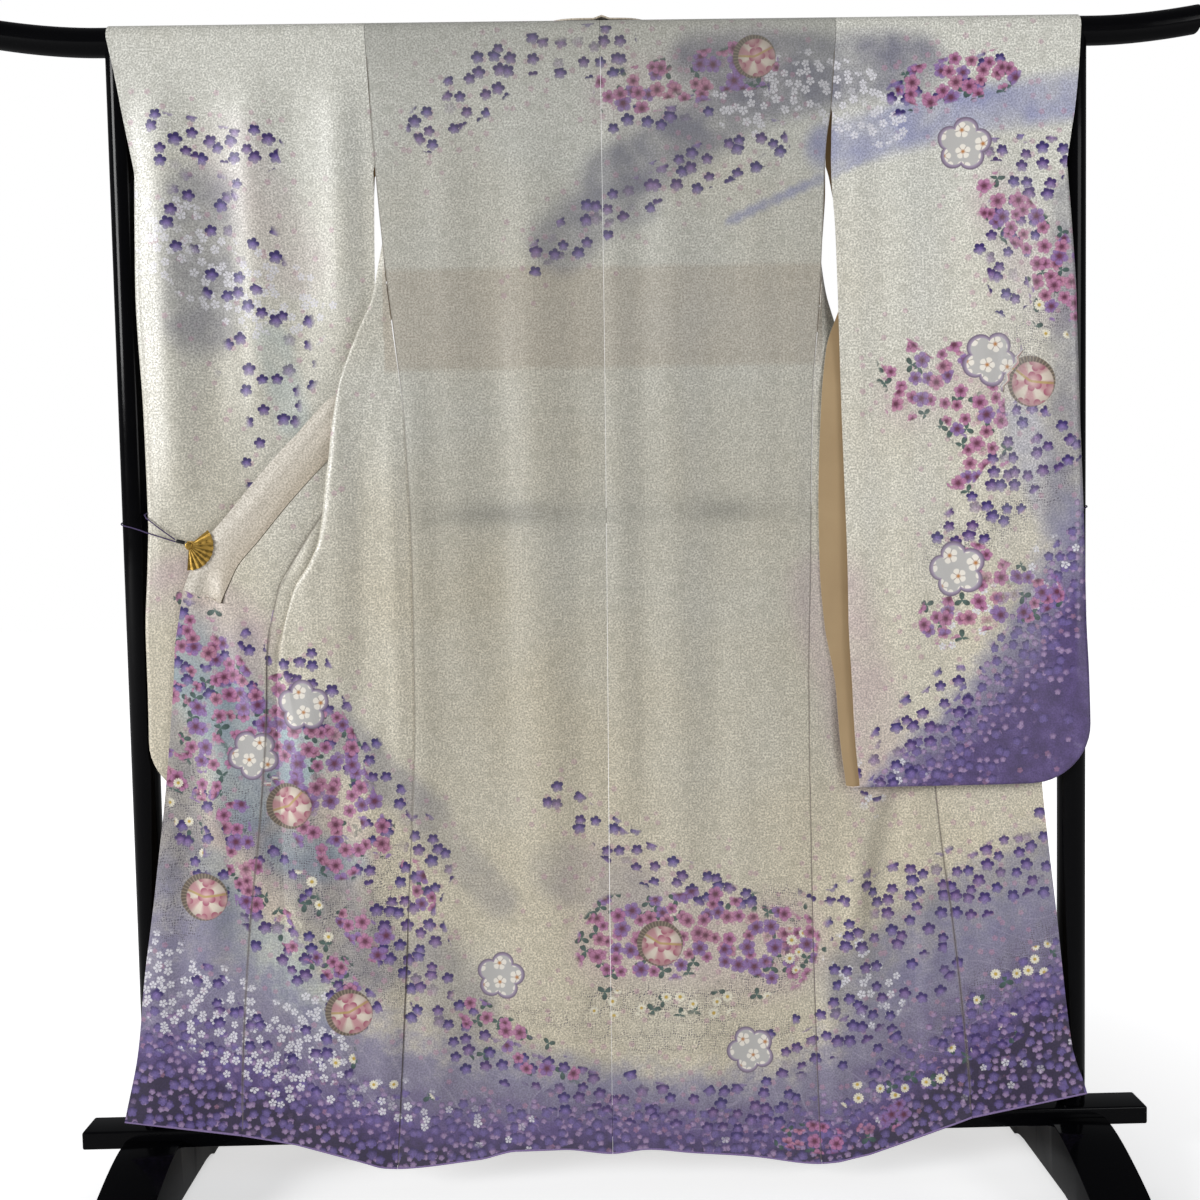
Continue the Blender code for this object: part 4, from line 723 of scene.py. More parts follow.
colour = add("MixRGB", add("Math MULTIPLY", ball_fill, is_ball), colour, ball)
# seams: the needle's line, a little shaded
sewn = add("MapRange", sewing[0], 0.5, 2.4, 0.62, 0.0)
colour = add("MixRGB", sewn, colour, "#6e655a")
# painted shade: where the silk hangs free it is darkened a little for the dark behind it
colour = add("MixRGB", add("Math MULTIPLY", dye[2], 0.5), colour, "#63645f")
fill(shader, Base_Color=colour, Roughness=add("MapRange", figure, 0.0, 1.0, 0.52, 0.34),
     Normal=add("Bump", 0.35, 0.00025, Height=figure))

# Back: two straight lengths of ivory figured silk, 30 cm wide, lined, sewn to each other down
# the middle and taken up in one tuck; they hang over the rod from the shoulder.
CLOTH = 0.0015
SHELL = 0.0011
SEAM_GAP = 0.0005
TURNED_IN, TURNED_R, ABOVE_HEM = 0.00178, 0.001, 0.004
BACK_COLUMNS, BACK_STEP, ROW_STEP = 45, 0.008, 0.0075
NECK_HALF = 0.088
WRAP_R = ROD_R + TOUCH_GAP + 0.00016 + CLOTH / 2
SHOULDER_SPLIT = math.radians(52)
NECK_SEAM = math.radians(-14)
HEM_LEVEL = 0.09
STRAIGHT_FROM = 0.45
CENTRE_SEAM = {
    "columns": ("z", "x"),
    "rows": ((0.06, -0.008), (0.42, -0.006), (0.84, -0.002), (1.25, 0.001), (1.62, 0.002)),
}
LEFT_SIDE = {
    "columns": ("z", "x"),
    "rows": ((0.05, -0.3100), (0.43, -0.2850), (0.70, -0.2700), (0.90, -0.2690), (1.08, -0.2745),
             (1.21, -0.2865), (1.31, -0.2970), (1.43, -0.3060), (1.62, -0.3160)),
}
RIGHT_SIDE = {
    "columns": ("z", "x"),
    "rows": ((0.04, 0.2860), (0.20, 0.2810), (0.42, 0.2770), (0.70, 0.2755), (0.89, 0.2800),
             (1.11, 0.2850), (1.26, 0.2970), (1.34, 0.3015), (1.455, 0.3075), (1.505, 0.3145),
             (1.62, 0.3230)),
}
HEM_LINE = {
    "columns": ("x", "z"),
    "rows": ((-0.687, 0.125), (-0.637, 0.119), (-0.582, 0.114), (-0.527, 0.103), (-0.458, 0.088),
             (-0.375, 0.066), (-0.310, 0.049), (-0.195, 0.058), (-0.142, 0.070), (-0.077, 0.071),
             (-0.008, 0.063), (0.043, 0.068), (0.105, 0.062), (0.188, 0.053), (0.286, 0.041),
             (0.340, 0.051), (0.394, 0.065), (0.453, 0.084), (0.497, 0.101), (0.533, 0.108),
             (0.593, 0.123), (0.664, 0.131)),
}
# Soft folds placed one by one: x and z of one end, of the other, how wide and how proud, in mm
BACK_FOLDS = (
    (-264, 1200, -264, 420, 24, 4), (-214, 1580, -196, 620, 26, 3.6),
    (-150, 1400, -142, 420, 20, -2), (-98, 1590, -86, 260, 28, 4.2),
    (-42, 1560, -40, 320, 17, -1.8), (16, 1590, 20, 420, 16, 3),
    (54, 1540, 48, 400, 16, -1.8), (94, 1580, 98, 260, 22, 3.4),
    (142, 1460, 146, 420, 20, -2), (208, 1590, 220, 520, 28, 4),
    (264, 1500, 258, 700, 14, 2.2), (180, 900, 176, 180, 22, 2.6),
    (-236, 460, -258, 60, 26, 4.4), (-160, 400, -172, 60, 24, -2.4), (-60, 330, -64, 60, 26, 3.2),
    (60, 330, 76, 60, 24, -2.2), (118, 340, 130, 60, 24, 3.6), (216, 380, 236, 60, 26, 3.4),
)


def folded(folds, x, z):
    """How far folds lift the silk at each place."""
    lift = np.zeros_like(x)
    for x0, z0, x1, z1, wide, proud in folds:
        start, run = np.array((x0, z0)) / 1000, np.array((x1 - x0, z1 - z0)) / 1000
        share = ((x - start[0]) * run[0] + (z - start[1]) * run[1]) / run.dot(run)
        inside = np.clip(share, 0, 1)
        away = np.hypot(x - start[0] - run[0] * inside, z - start[1] - run[1] * inside)
        ends = np.clip(inside / 0.2, 0, 1) * np.clip((1 - inside) / 0.2, 0, 1)
        lift += proud / 1000 * np.exp(-(away * 1000 / wide) ** 2) * ends * ends * (3 - 2 * ends)
    uneven = np.sin(61 * x + 3.1 * z) * np.sin(17 * z + 5.0 * x + 0.7) + np.sin(38 * z - 23 * x) * 0.6
    return lift + 0.00035 * uneven


def hem_at(x):
    return read(HEM_LINE, "z", x)


def height_at(level, hem):
    """Levels keep their height above STRAIGHT_FROM and follow the hem's line below it."""
    share = (level - HEM_LEVEL) / (STRAIGHT_FROM - HEM_LEVEL)
    return np.where(level >= STRAIGHT_FROM, level, hem + share * (STRAIGHT_FROM - hem))


def back_depth(across, z):
    """The back leaves the rod and hangs clear of the beam, slightly bowed from side to side."""
    fall = 1 - z / ROD_Z
    loose = np.sin(math.pi * np.clip((ROD_Z - z) / 0.5, 0, 1) / 2)
    bow = 0.0035 * loose * np.sin(math.pi * across) * np.cos(2.3 * math.pi * across + 1.1)
    return -WRAP_R - 0.014 * fall + bow * (1 - 0.35 * fall)


def back_point(side, across, z):
    outline = LEFT_SIDE if side < 0 else RIGHT_SIDE
    middle = read(CENTRE_SEAM, "x", z) + side * SEAM_GAP / 2
    edge = read(outline, "x", z)
    return np.stack([middle + (edge - middle) * across, back_depth(across, z), z + 0 * across], axis=-1)


def over_rod(angle, radius, x):
    """Points on the rod's wrap: -90 degrees is the viewer's side, 0 the top."""
    return np.stack([x, radius * np.sin(angle) + 0 * x, ROD_Z + radius * np.cos(angle) + 0 * x], axis=-1)


def levels_down(start, end, step):
    count = max(2, round((start - end) / step))
    return np.linspace(start, end, count + 1)


def grid_faces(rows, columns, keep=None):
    faces = []
    for row in range(rows - 1):
        for column in range(columns - 1):
            if keep is None or keep(row, column):
                corner = row * columns + column
                faces.append((corner, corner + 1, corner + columns + 1, corner + columns))
    return faces


def drawn_in(edges, x, z, wide=0.006, deep=0.0006):
    """Silk dips where it is sewn."""
    places = np.stack([x, z], axis=-1)
    return -deep * sum(np.exp(-(off_line(line, places) / wide) ** 2) for line in edges)


def flow_place(points):
    """Where each point lies in the flat cut: across by x, and on over the rod by its wrap."""
    past = np.clip(points[:, 2] - ROD_Z, 0, None)
    angle = np.arctan2(points[:, 1], np.maximum(points[:, 2] - ROD_Z, 0.0001)) + math.pi / 2
    height = np.where(past > 0, ROD_Z + WRAP_R * angle, points[:, 2])
    return np.stack([points[:, 0], height], axis=-1)


# Lining silk (habutae), plain woven and left undyed: matt, its colour a painted shade, the warm tan the
# silk shows in the shade inside. Its
# threads are 0.1 mm apart and are drawn at 1.5 mm, so that the weave shows at all.
habutae, tree, shader = new_finish("habutae_lining_plain_woven", 0.6, Sheen_Weight=0.1)
place = add("UVMap", uv_map="cut")
warp = add("TexWave", place, 210.0, 1.5, 1.0, bands_direction="X")
weft = add("TexWave", place, 210.0, 1.5, 1.0, bands_direction="Y")
threads = add("Math MULTIPLY", warp.outputs[1], weft.outputs[1])
age = add("TexNoise", place, None, 9.0, 3.0, **FLAT)
tone = add("MixRGB", age, "#8d7452", "#a58c68")
tone = add("MixRGB", add("Math MULTIPLY", threads, 0.3), tone, "#c2b08e")
# painted light: the lining glows a little, for the daylight that comes through the cloth
fill(shader, Base_Color=tone, Emission_Color=tone, Emission_Strength=0.11,
     Normal=add("Bump", 0.25, 0.0003, Height=threads))
habutae.cycles.emission_sampling = "NONE"
# Lower lining (hakkake), crepe dyed to match the hem: matt violet, finely pebbled
hakkake, tree, shader = new_finish("hakkake_crepe_dyed", 0.65, Sheen_Weight=0.15)
spot = add("TexCoord").outputs["Object"]
pebbles = add("TexNoise", spot, None, 520.0, 2.0, 0.6)
tone = add("MixRGB", pebbles, "#665081", "#9784b0")
fill(shader, Base_Color=tone, Normal=add("Bump", 0.4, 0.0003, Height=pebbles))


def one_sided(name, points, faces, outward=None):
    """A mesh whose faces all point one way, outwards as a whole where that is given."""
    mesh = bpy.data.meshes.new(name)
    mesh.from_pydata(np.reshape(points, (-1, 3)).tolist(), [], faces)
    work = bmesh.new()
    work.from_mesh(mesh)
    bmesh.ops.delete(work, geom=[v for v in work.verts if not v.link_faces], context="VERTS")
    bmesh.ops.recalc_face_normals(work, faces=work.faces)
    if outward:
        facing = sum((f.normal * f.calc_area() for f in work.faces if f.calc_center_median().y < -0.005
                      or outward[1] > 0), Vector())
        if facing.dot(Vector(outward)) < 0:
            bmesh.ops.reverse_faces(work, faces=work.faces)
    work.to_mesh(mesh)
    work.free()
    return mesh


def silk_piece(node, points, faces=None, lift=None, finishes=(rinzu, habutae), slot="silk", wall=SHELL,
               outward=(0, -1, 0), places=None, dye=HEM_DYE, painted_shade_weight=0.0, shares=None, seams=()):
    """A sewn piece of lined silk that stands for one node: its mid-surface is lifted along its
    normals by its folds, less where shares are low, and given a wall, figured silk outside and
    lining inside. The cut's coordinates are its UV map."""
    name = "silk_" + node
    mesh = one_sided(name, points, faces or grid_faces(*points.shape[:2]), outward)
    count = len(mesh.vertices)
    flat = np.empty(count * 3)
    mesh.vertices.foreach_get("co", flat)
    base = flat.reshape(-1, 3).copy()
    spots = flow_place(base) if places is None else places(base)
    if lift is not None:
        normals = np.empty(count * 3)
        mesh.vertex_normals.foreach_get("vector", normals)
        height = lift(base[:, 0], base[:, 2])
        if shares is not None:
            height *= shares
        moved = base + normals.reshape(-1, 3) * height[:, None]
        mesh.vertices.foreach_set("co", moved.ravel())
    mark_pattern(mesh, base, spots, dye, painted_shade_weight, seams)
    corners = np.empty(len(mesh.loops), dtype=np.int32)
    mesh.loops.foreach_get("vertex_index", corners)
    cut = mesh.uv_layers.new(name="cut")
    cut.uv.foreach_set("vector", spots[corners].ravel())
    item = put(name, mesh)
    for finish in finishes:
        mesh.materials.append(finish)
    wall_step = item.modifiers.new("wall", "SOLIDIFY")
    wall_step.thickness = wall
    wall_step.offset = 0.0
    wall_step.use_even_offset = True
    wall_step.use_quality_normals = True
    wall_step.material_offset = 1 if len(finishes) > 1 else 0
    alone(item)
    bpy.ops.object.modifier_apply(modifier="wall")
    bpy.ops.object.shade_smooth_by_angle(angle=math.radians(60))
    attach(item, "root")
    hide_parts(node)
    return item


def hem_roll(name, line, radius=0.0015, sides=8):
    """The lining's rolled edge (fuki), a soft tube along an edge; also a seam's turned-in edge."""
    ahead = np.gradient(line, axis=0)
    ahead /= np.linalg.norm(ahead, axis=1)[:, None]
    first = np.cross(ahead, (0.0, 1.0, 0.0))
    first /= np.linalg.norm(first, axis=1)[:, None]
    second = np.cross(ahead, first)
    rings = [line + radius * (first * math.cos(a) + second * math.sin(a))
             for a in np.arange(sides) * 2 * math.pi / sides]
    faces = []
    for row in range(len(line) - 1):
        for k in range(sides):
            a, b = row * sides + k, row * sides + (k + 1) % sides
            faces.append((a, b, b + sides, a + sides))
    faces += [tuple(range(sides)), tuple(range((len(line) - 1) * sides, len(line) * sides))]
    item = put(name, one_sided(name, np.stack(rings, axis=1), faces))
    item.data.materials.append(hakkake)
    alone(item)
    bpy.ops.object.shade_smooth_by_angle(angle=math.radians(60))
    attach(item, "root")
    return item


for side, word in ((-1, "left"), (1, "right")):
    across = np.linspace(0, 1, BACK_COLUMNS)
    level = levels_down(ROD_Z, HEM_LEVEL, BACK_STEP)
    hem = hem_at(back_point(side, across, np.full_like(across, HEM_LEVEL))[:, 0])
    rows = [back_point(side, across, height_at(z, hem)) for z in level[::-1]]
    wrap = np.concatenate([np.linspace(-math.pi / 2, NECK_SEAM, 8)[1:],
                           np.linspace(NECK_SEAM, SHOULDER_SPLIT, 8)[1:]])
    places = back_point(side, across, np.full_like(across, ROD_Z))[:, 0]
    rows += [over_rod(angle, WRAP_R, places) for angle in wrap]
    neck_row = len(level) + 6
    neck_column = int(np.searchsorted(np.abs(places), NECK_HALF))
    kept = grid_faces(len(rows), BACK_COLUMNS, lambda r, c: r < neck_row or c >= neck_column)
    seams = [[(x, z) for z, x in CENTRE_SEAM["rows"]],
             [(x, z) for z, x in (LEFT_SIDE if side < 0 else RIGHT_SIDE)["rows"]]]

    def back_lift(x, z):
        hang = np.clip((ROD_Z - z) / 0.06, 0, 1)
        tuck = 0.0006 * np.clip((z - TUCK_LOW) / 0.001, 0, 1) * np.clip((TUCK_HIGH - z) / 0.001, 0, 1)
        return (folded(BACK_FOLDS, x, z) + drawn_in(seams, x, z)) * hang + tuck

    piece = silk_piece("back_" + word, rows, kept, back_lift, painted_shade_weight=1.0,
                       seams=[[row[-1] for row in rows[:len(level):6]]])
    roll = hem_roll("hem_roll_back_" + word, rows[0])
    down = height_at(np.linspace(0.95, HEM_LEVEL, 60), hem[-1] + ABOVE_HEM)
    inside = back_point(side, 1.0, down) + np.array((side * SEAM_GAP / 2, TURNED_IN, 0.0))
    turned = hem_roll("turned_in_side_seam_" + word, inside, TURNED_R)

# Fronts: each is one more half width of the same length, swung out beside the back and laid
# in one standing pleat that narrows upwards; above, it passes behind the back to the rod.
PLEAT_HALF = 0.0019
PLEAT_NOSE = 0.0028
SIDE_SEAM_TOP = 1.285
FRONT_COLUMNS = ("z", "side_x", "side_y", "fold_x", "fold_y", "turn_x", "turn_y",
                 "seam_x", "seam_y", "collar_x", "collar_y", "pleat")
LEFT_FRONT = {
    "columns": FRONT_COLUMNS,
    "rows": (
        (60, -310, -34, -372, -38, -450, -33, -527, -36, -690, -34.5, 0),
        (220, -299, -32, -380, -39, -452, -32, -519, -36, -667, -34, 0),
        (390, -288, -30, -395, -39, -456, -31, -505, -36, -644, -33.5, 0),
        (560, -277, -28.5, -418, -39, -458, -30.5, -484, -36, -619, -33.5, 0),
        (700, -270, -27.5, -436, -39, -459, -30.5, -472, -35.5, -590, -34, 0.1),
        (780, -269, -27, -448, -39, -452, -31, -469, -34.5, -559, -35, 0.5),
        (846, -269, -26.5, -434, -39, -417, -33.5, -456, -33.3, -529, -35.2, 1),
        (870, -269, -26.5, -425, -39, -400, -33.5, -449, -32.8, -518, -34.9, 1),
        (895, -269, -26.5, -408, -38.5, -378, -33, -434, -31.8, -506, -34.6, 1),
        (930, -269, -26.5, -393, -37.5, -360, -32, -412, -30.5, -476, -34.2, 1),
        (980, -270, -26.2, -385, -36.5, -338, -29.8, -381, -28.6, -434, -32, 1),
        (1020, -272, -26, -380, -35.5, -322, -27.8, -358, -27, -398, -29.6, 1),
        (1045, -273, -25.8, -376, -34.8, -312, -26.5, -345, -26, -374, -28.2, 1),
        (1080, -275, -25.5, -372, -34, -304, -25, -331, -24.2, -350, -26, 1),
        (1110, -277, -25.3, -367, -33, -300, -24, -325, -22.8, -335, -23.8, 1),
        (1140, -280, -25, -361, -32, -298, -22.8, -320, -21, -324, -21.4, 1),
        (1175, -284, -24.8, -349, -31, -297, -21.6, -313, -18.8, -313, -18.8, 1),
        (1209, -287, -24.5, -335, -29, -297, -20.2, -306, -16.2, -306, -16.2, 0.9),
        (1262, -293, -24, -312, -26, -299, -18.5, -302, -12.5, -302, -12.5, 0.6),
        (1300, -297, -20, -306, -16.5, -302, -8.5, -292, -3.5, -292, -3.5, 0.2),
        (1350, -300, -8, -299, 0, -290, 6, -279, 9, -279, 9, 0),
        (1400, -304, 3, -292, 9, -276, 12, -262, 13, -262, 13, 0),
        (1450, -307, 12, -278, 14.5, -250, 16, -226, 16.5, -226, 16.5, 0),
        (1500, -310, 16.5, -266, 17.5, -224, 18, -188, 18.5, -188, 18.5, 0),
        (1550, -312, 19, -256, 19.5, -200, 19.5, -150, 19.5, -150, 19.5, 0),
        (1611, -315.5, 20.21, -250, 20.21, -176, 20.21, -108, 20.21, -108, 20.21, 0),
    ),
}
RIGHT_FRONT = {
    "columns": FRONT_COLUMNS,
    "rows": (
        (40, 286, -34, 352, -37, 430, -32, 503, -35, 668, -32, 0),
        (200, 281, -32, 348, -36, 425, -29, 491, -33, 642, -29, 0),
        (380, 277, -30, 344, -31, 418, -23, 474, -27, 624, -21, 0),
        (480, 276, -28.5, 338, -24, 408, -16, 463, -17, 615, -11, 0),
        (575, 276, -27.5, 330, -16, 400, -9, 455, -10, 605, -7, 0),
        (700, 275.5, -27, 326, -13.5, 392, -7.5, 444, -8.5, 588, -7.5, 0.1),
        (780, 277, -27, 360, -13.2, 374, -8.5, 437, -8, 559, -8, 0.3),
        (846, 279, -26.5, 373, -13.5, 361, -9, 431, -8, 529, -8.2, 0.9),
        (870, 279, -26.5, 379, -13.5, 350, -9, 428, -8.2, 518, -8.4, 1),
        (896, 280, -26.3, 377, -13.8, 344, -9.3, 420, -8.4, 506, -8.4, 1),
        (930, 281, -26, 372, -14, 338, -9.5, 410, -8.5, 477, -8.4, 1),
        (980, 282, -25.8, 364, -14, 329, -9, 387, -7.8, 440, -7.6, 1),
        (1020, 283, -25.5, 356, -13.5, 322, -8, 366, -6, 410, -6, 1),
        (1047, 284, -25.3, 352, -12.8, 318, -7.2, 355, -4.8, 390, -4.4, 1),
        (1080, 285, -25, 348, -12, 314, -6.2, 343, -3, 367, -2.4, 1),
        (1110, 286, -24.6, 343, -10.6, 311, -4.8, 334, -0.8, 347, -0.2, 1),
        (1140, 287, -24, 338, -9, 308, -3, 327, 1.6, 332, 2, 1),
        (1175, 290, -23.2, 331, -6, 306, 0, 319, 5.2, 319, 5.2, 0.9),
        (1209, 293, -22.5, 323, -2.5, 304, 3.6, 311, 8.4, 311, 8.4, 0.8),
        (1262, 297, -20, 309, 1.5, 302, 7, 299, 11.5, 299, 11.5, 0.4),
        (1300, 300, -12, 304, 4, 298, 9.5, 289, 12.5, 289, 12.5, 0.1),
        (1350, 306, -2, 300, 9, 286, 13, 272, 14, 272, 14, 0),
        (1400, 311.5, 8, 292, 13.5, 272, 15.5, 256, 16, 256, 16, 0),
        (1450, 313, 14, 282, 16.5, 252, 17.5, 226, 17.5, 226, 17.5, 0),
        (1500, 314.5, 17.5, 270, 18.5, 228, 19, 190, 19, 190, 19, 0),
        (1550, 317.5, 19.5, 260, 19.5, 204, 19.5, 152, 19.5, 152, 19.5, 0),
        (1611, 321.5, 20.21, 252, 20.21, 178, 20.21, 108, 20.21, 108, 20.21, 0),
    ),
}
FRONTS = {-1: LEFT_FRONT, 1: RIGHT_FRONT}
LEFT_FRONT_FOLDS = (
    (-366, 1160, -378, 620, 22, 5), (-332, 1100, -340, 620, 15, -2.2),
    (-294, 1140, -292, 560, 13, 3.4), (-404, 980, -414, 520, 18, 4.2),
    (-440, 980, -520, 850, 13, 3), (-330, 760, -345, 300, 18, 3.2), (-372, 640, -388, 240, 18, -2.4),
    (-430, 720, -440, 200, 18, 4), (-300, 420, -330, 60, 20, 3.4),
    (-360, 300, -372, 60, 22, -2), (-460, 420, -480, 90, 20, 3),
    (-530, 780, -560, 300, 18, 3.8), (-575, 700, -610, 240, 16, -2),
    (-604, 560, -650, 130, 16, 3.2), (-540, 300, -556, 90, 20, -1.6),
    (-380, 812, -245, 812, 7, -0.9),
)
RIGHT_FRONT_FOLDS = (
    (300, 1100, 320, 620, 10, 2.4), (318, 900, 356, 500, 12, -1.4),
    (429, 665, 355, 343, 16, -5.5), (391, 666, 323, 357, 14, 4),
    (330, 640, 344, 220, 16, 3.8), (380, 560, 398, 200, 18, -1.8),
    (430, 540, 446, 120, 18, 4.2), (476, 480, 500, 110, 14, 2),
    (530, 560, 556, 150, 20, 4), (580, 540, 610, 150, 18, 3.2), (300, 360, 312, 50, 14, 3),
)
FRONT_FOLDS = {-1: LEFT_FRONT_FOLDS, 1: RIGHT_FRONT_FOLDS}


def plan_at(table, name, z):
    """Where one named line of a table stands, in plan, at many heights."""
    return np.stack([read(table, name + "_x", z, 0.001), read(table, name + "_y", z, 0.001)], axis=-1)


def front_side(table, side, z):
    """The front's side edge: on the back's side seam, and free of it above the seam's top."""
    own = plan_at(table, "side", z)
    seam = back_point(side, 1.0, z)
    turned_in = np.clip((z - 1.15) / 0.06, 0, 1)
    sewn = np.stack([seam[..., 0] + side * (SEAM_GAP + turned_in * CLOTH / 2), seam[..., 1]], axis=-1)
    share = np.clip((z - SIDE_SEAM_TOP + 0.02) / 0.03, 0, 1)[..., None]
    return sewn + (own - sewn) * share


def nose(before, tip, after):
    """The points just before and after a pleat's fold."""
    into, on = before - tip, after - tip
    far_in = np.linalg.norm(into, axis=-1, keepdims=True)
    far_on = np.linalg.norm(on, axis=-1, keepdims=True)
    lead = tip + into / far_in * np.minimum(PLEAT_NOSE, 0.3 * far_in)
    tail = tip + on / far_on * np.minimum(PLEAT_NOSE, 0.3 * far_on)
    return lead, tail


def front_section(table, side, z):
    """Plans of one front at many heights, from side edge to overlap seam."""
    half = np.stack([0 * z, PLEAT_HALF * read(table, "pleat", z, 0.001) / 0.001], axis=-1)
    start = front_side(table, side, z)
    fold, turn, seam = (plan_at(table, name, z) for name in ("fold", "turn", "seam"))
    lead, tail = nose(start, fold, turn)
    lead_in, lead_out = nose(fold, turn, seam)
    billow = np.stack([0 * z, -0.002 * np.sin(math.pi * np.clip(z / 0.6, 0, 1))], axis=-1)
    last = lead_out + half * 1.4
    return np.stack([
        start,
        start + (lead - half - start) * 0.35 + billow,
        start + (lead - half - start) * 0.70 + billow * 0.5,
        lead - half, fold, tail + half, lead_in - half * 0.2, turn + half * 0.6, last,
        last + (seam - last) * 0.55, seam], axis=1)


def spread(points, counts):
    """Smooth points along each row, so many steps from each given point to the next."""
    steps = np.diff(points, axis=1)
    both = steps[:, :-1] * steps[:, 1:]
    total = steps[:, :-1] + steps[:, 1:]
    middle = np.where(both > 0, 2 * both / np.where(both > 0, total, 1.0), 0.0)
    tangent = np.concatenate([steps[:, :1], middle, steps[:, -1:]], axis=1)
    out = []
    for k, count in enumerate(counts):
        t = (np.arange(count + (k == len(counts) - 1)) / count)[None, :, None]
        out.append(points[:, k:k + 1] + steps[:, k:k + 1] * t * t * (3 - 2 * t)
                   + tangent[:, k:k + 1] * t * (1 - t) ** 2 + tangent[:, k + 1:k + 2] * t * t * (t - 1))
    return np.concatenate(out, axis=1)


FRONT_STEPS = (9, 9, 8, 3, 3, 9, 3, 3, 7, 7)
for side, word in ((-1, "left"), (1, "right")):
    table = FRONTS[side]
    level = levels_down(ROD_Z, HEM_LEVEL, ROW_STEP)
    plans = front_section(table, side, level)
    heights = height_at(level[:, None], hem_at(plans[:, :, 0]))
    exact = front_section(table, side, heights.ravel()).reshape(*heights.shape, heights.shape[1], 2)
    plans = np.stack([exact[:, k, k] for k in range(heights.shape[1])], axis=1)
    keys = np.concatenate([plans, heights[..., None]], axis=-1)
    shoulder = [over_rod(angle, WRAP_R, keys[0, :, 0])
                for angle in np.linspace(SHOULDER_SPLIT + SEAM_GAP / WRAP_R, math.pi / 2, 5)[:-1]]
    keys = np.concatenate([np.array(shoulder), keys])
    rows = spread(keys, FRONT_STEPS)

    # only the pleat's outer layer and what shows beyond it take the folds
    column = np.arange(rows.shape[1])
    pleated = np.clip(2 * read(table, "pleat", rows[:, :1, 2], 0.001) / 0.001, 0, 1)
    beyond = np.abs(rows[:, :, 0]) - np.abs(read(table, "fold_x", rows[:, :1, 2], 0.001))
    outer = np.clip((29 - column) / 5, 0, 1)
    outer = outer + np.clip((column - 45) / 3, 0, 1) * np.clip(beyond / 0.012, 0, 1)
    shares = 1 - pleated * (1 - outer)

    def front_lift(x, z):
        hang = np.clip((1.24 - z) / 0.1, 0, 1)
        line = read(table, "seam_x", z, 0.001)
        return (folded(FRONT_FOLDS[side], x, z) - 0.0006 * np.exp(-((x - line) / 0.006) ** 2)) * hang

    piece = silk_piece("front_" + word, rows, lift=front_lift, painted_shade_weight=0.25 if side < 0 else 0.6,
                       shares=shares.ravel(), seams=[rows[8::6, -1]])
    roll = hem_roll("hem_roll_front_" + word, rows[-1])

# Overlap panels (okumi): a narrow straight length sewn to each front's edge, 15 cm wide below
# the collar's end and tapering out under it above.
LEFT_EDGE = {
    "columns": ("z", "x", "y"),
    "rows": ((60, -700, -34.5), (125, -687, -34.5), (220, -666, -34), (330, -652, -33.8),
             (460, -632, -33.5), (600, -613, -33.5), (740, -598, -34), (800, -593, -34.6),
             (866, -580, -35.2)),
}
RIGHT_EDGE = {
    "columns": ("z", "x", "y"),
    "rows": ((60, 675, -32), (130, 663, -31), (200, 642, -29), (380, 624, -21),
             (480, 616, -11), (570, 608, -6.5), (740, 598, -6.5), (800, 592, -7.5),
             (866, 580, -8)),
}
COLLAR_END = 0.846
COLLAR_END_RISE = 0.0195
CLIP_X = 0.570
CLIP_Z = 0.9255
OVERLAP_TOP = 1.14
PULLED_FOLDS = (
    (-352, 1085, -458, 800, 24, -5), (-564, 930, -505, 670, 12, -4.2),
    (-534, 900, -480, 650, 14, 2.8),
)


def pull_lift(side, x, z):
    """The left front is pulled into folds that run from its pleat and its clip over overlap and
    collar, and fade where the clip's jaw holds them."""
    if side > 0:
        return 0 * x
    near = np.hypot(x - side * CLIP_X, z - CLIP_Z)
    return folded(PULLED_FOLDS, x, z) * np.clip((near - 0.036) / 0.012, 0, 1)


def overlap_seam(table, side, z):
    seam = plan_at(table, "seam", z)
    return np.stack([seam[..., 0] + side * SEAM_GAP, seam[..., 1], z], axis=-1)


def on_collar_seam(table, side, z):
    place = plan_at(table, "collar", z)
    return np.stack([place[..., 0] - side * SEAM_GAP, place[..., 1], z], axis=-1)


def on_front_edge(edge, z):
    return np.stack([read(edge, "x", z, 0.001), read(edge, "y", z, 0.001), z], axis=-1)


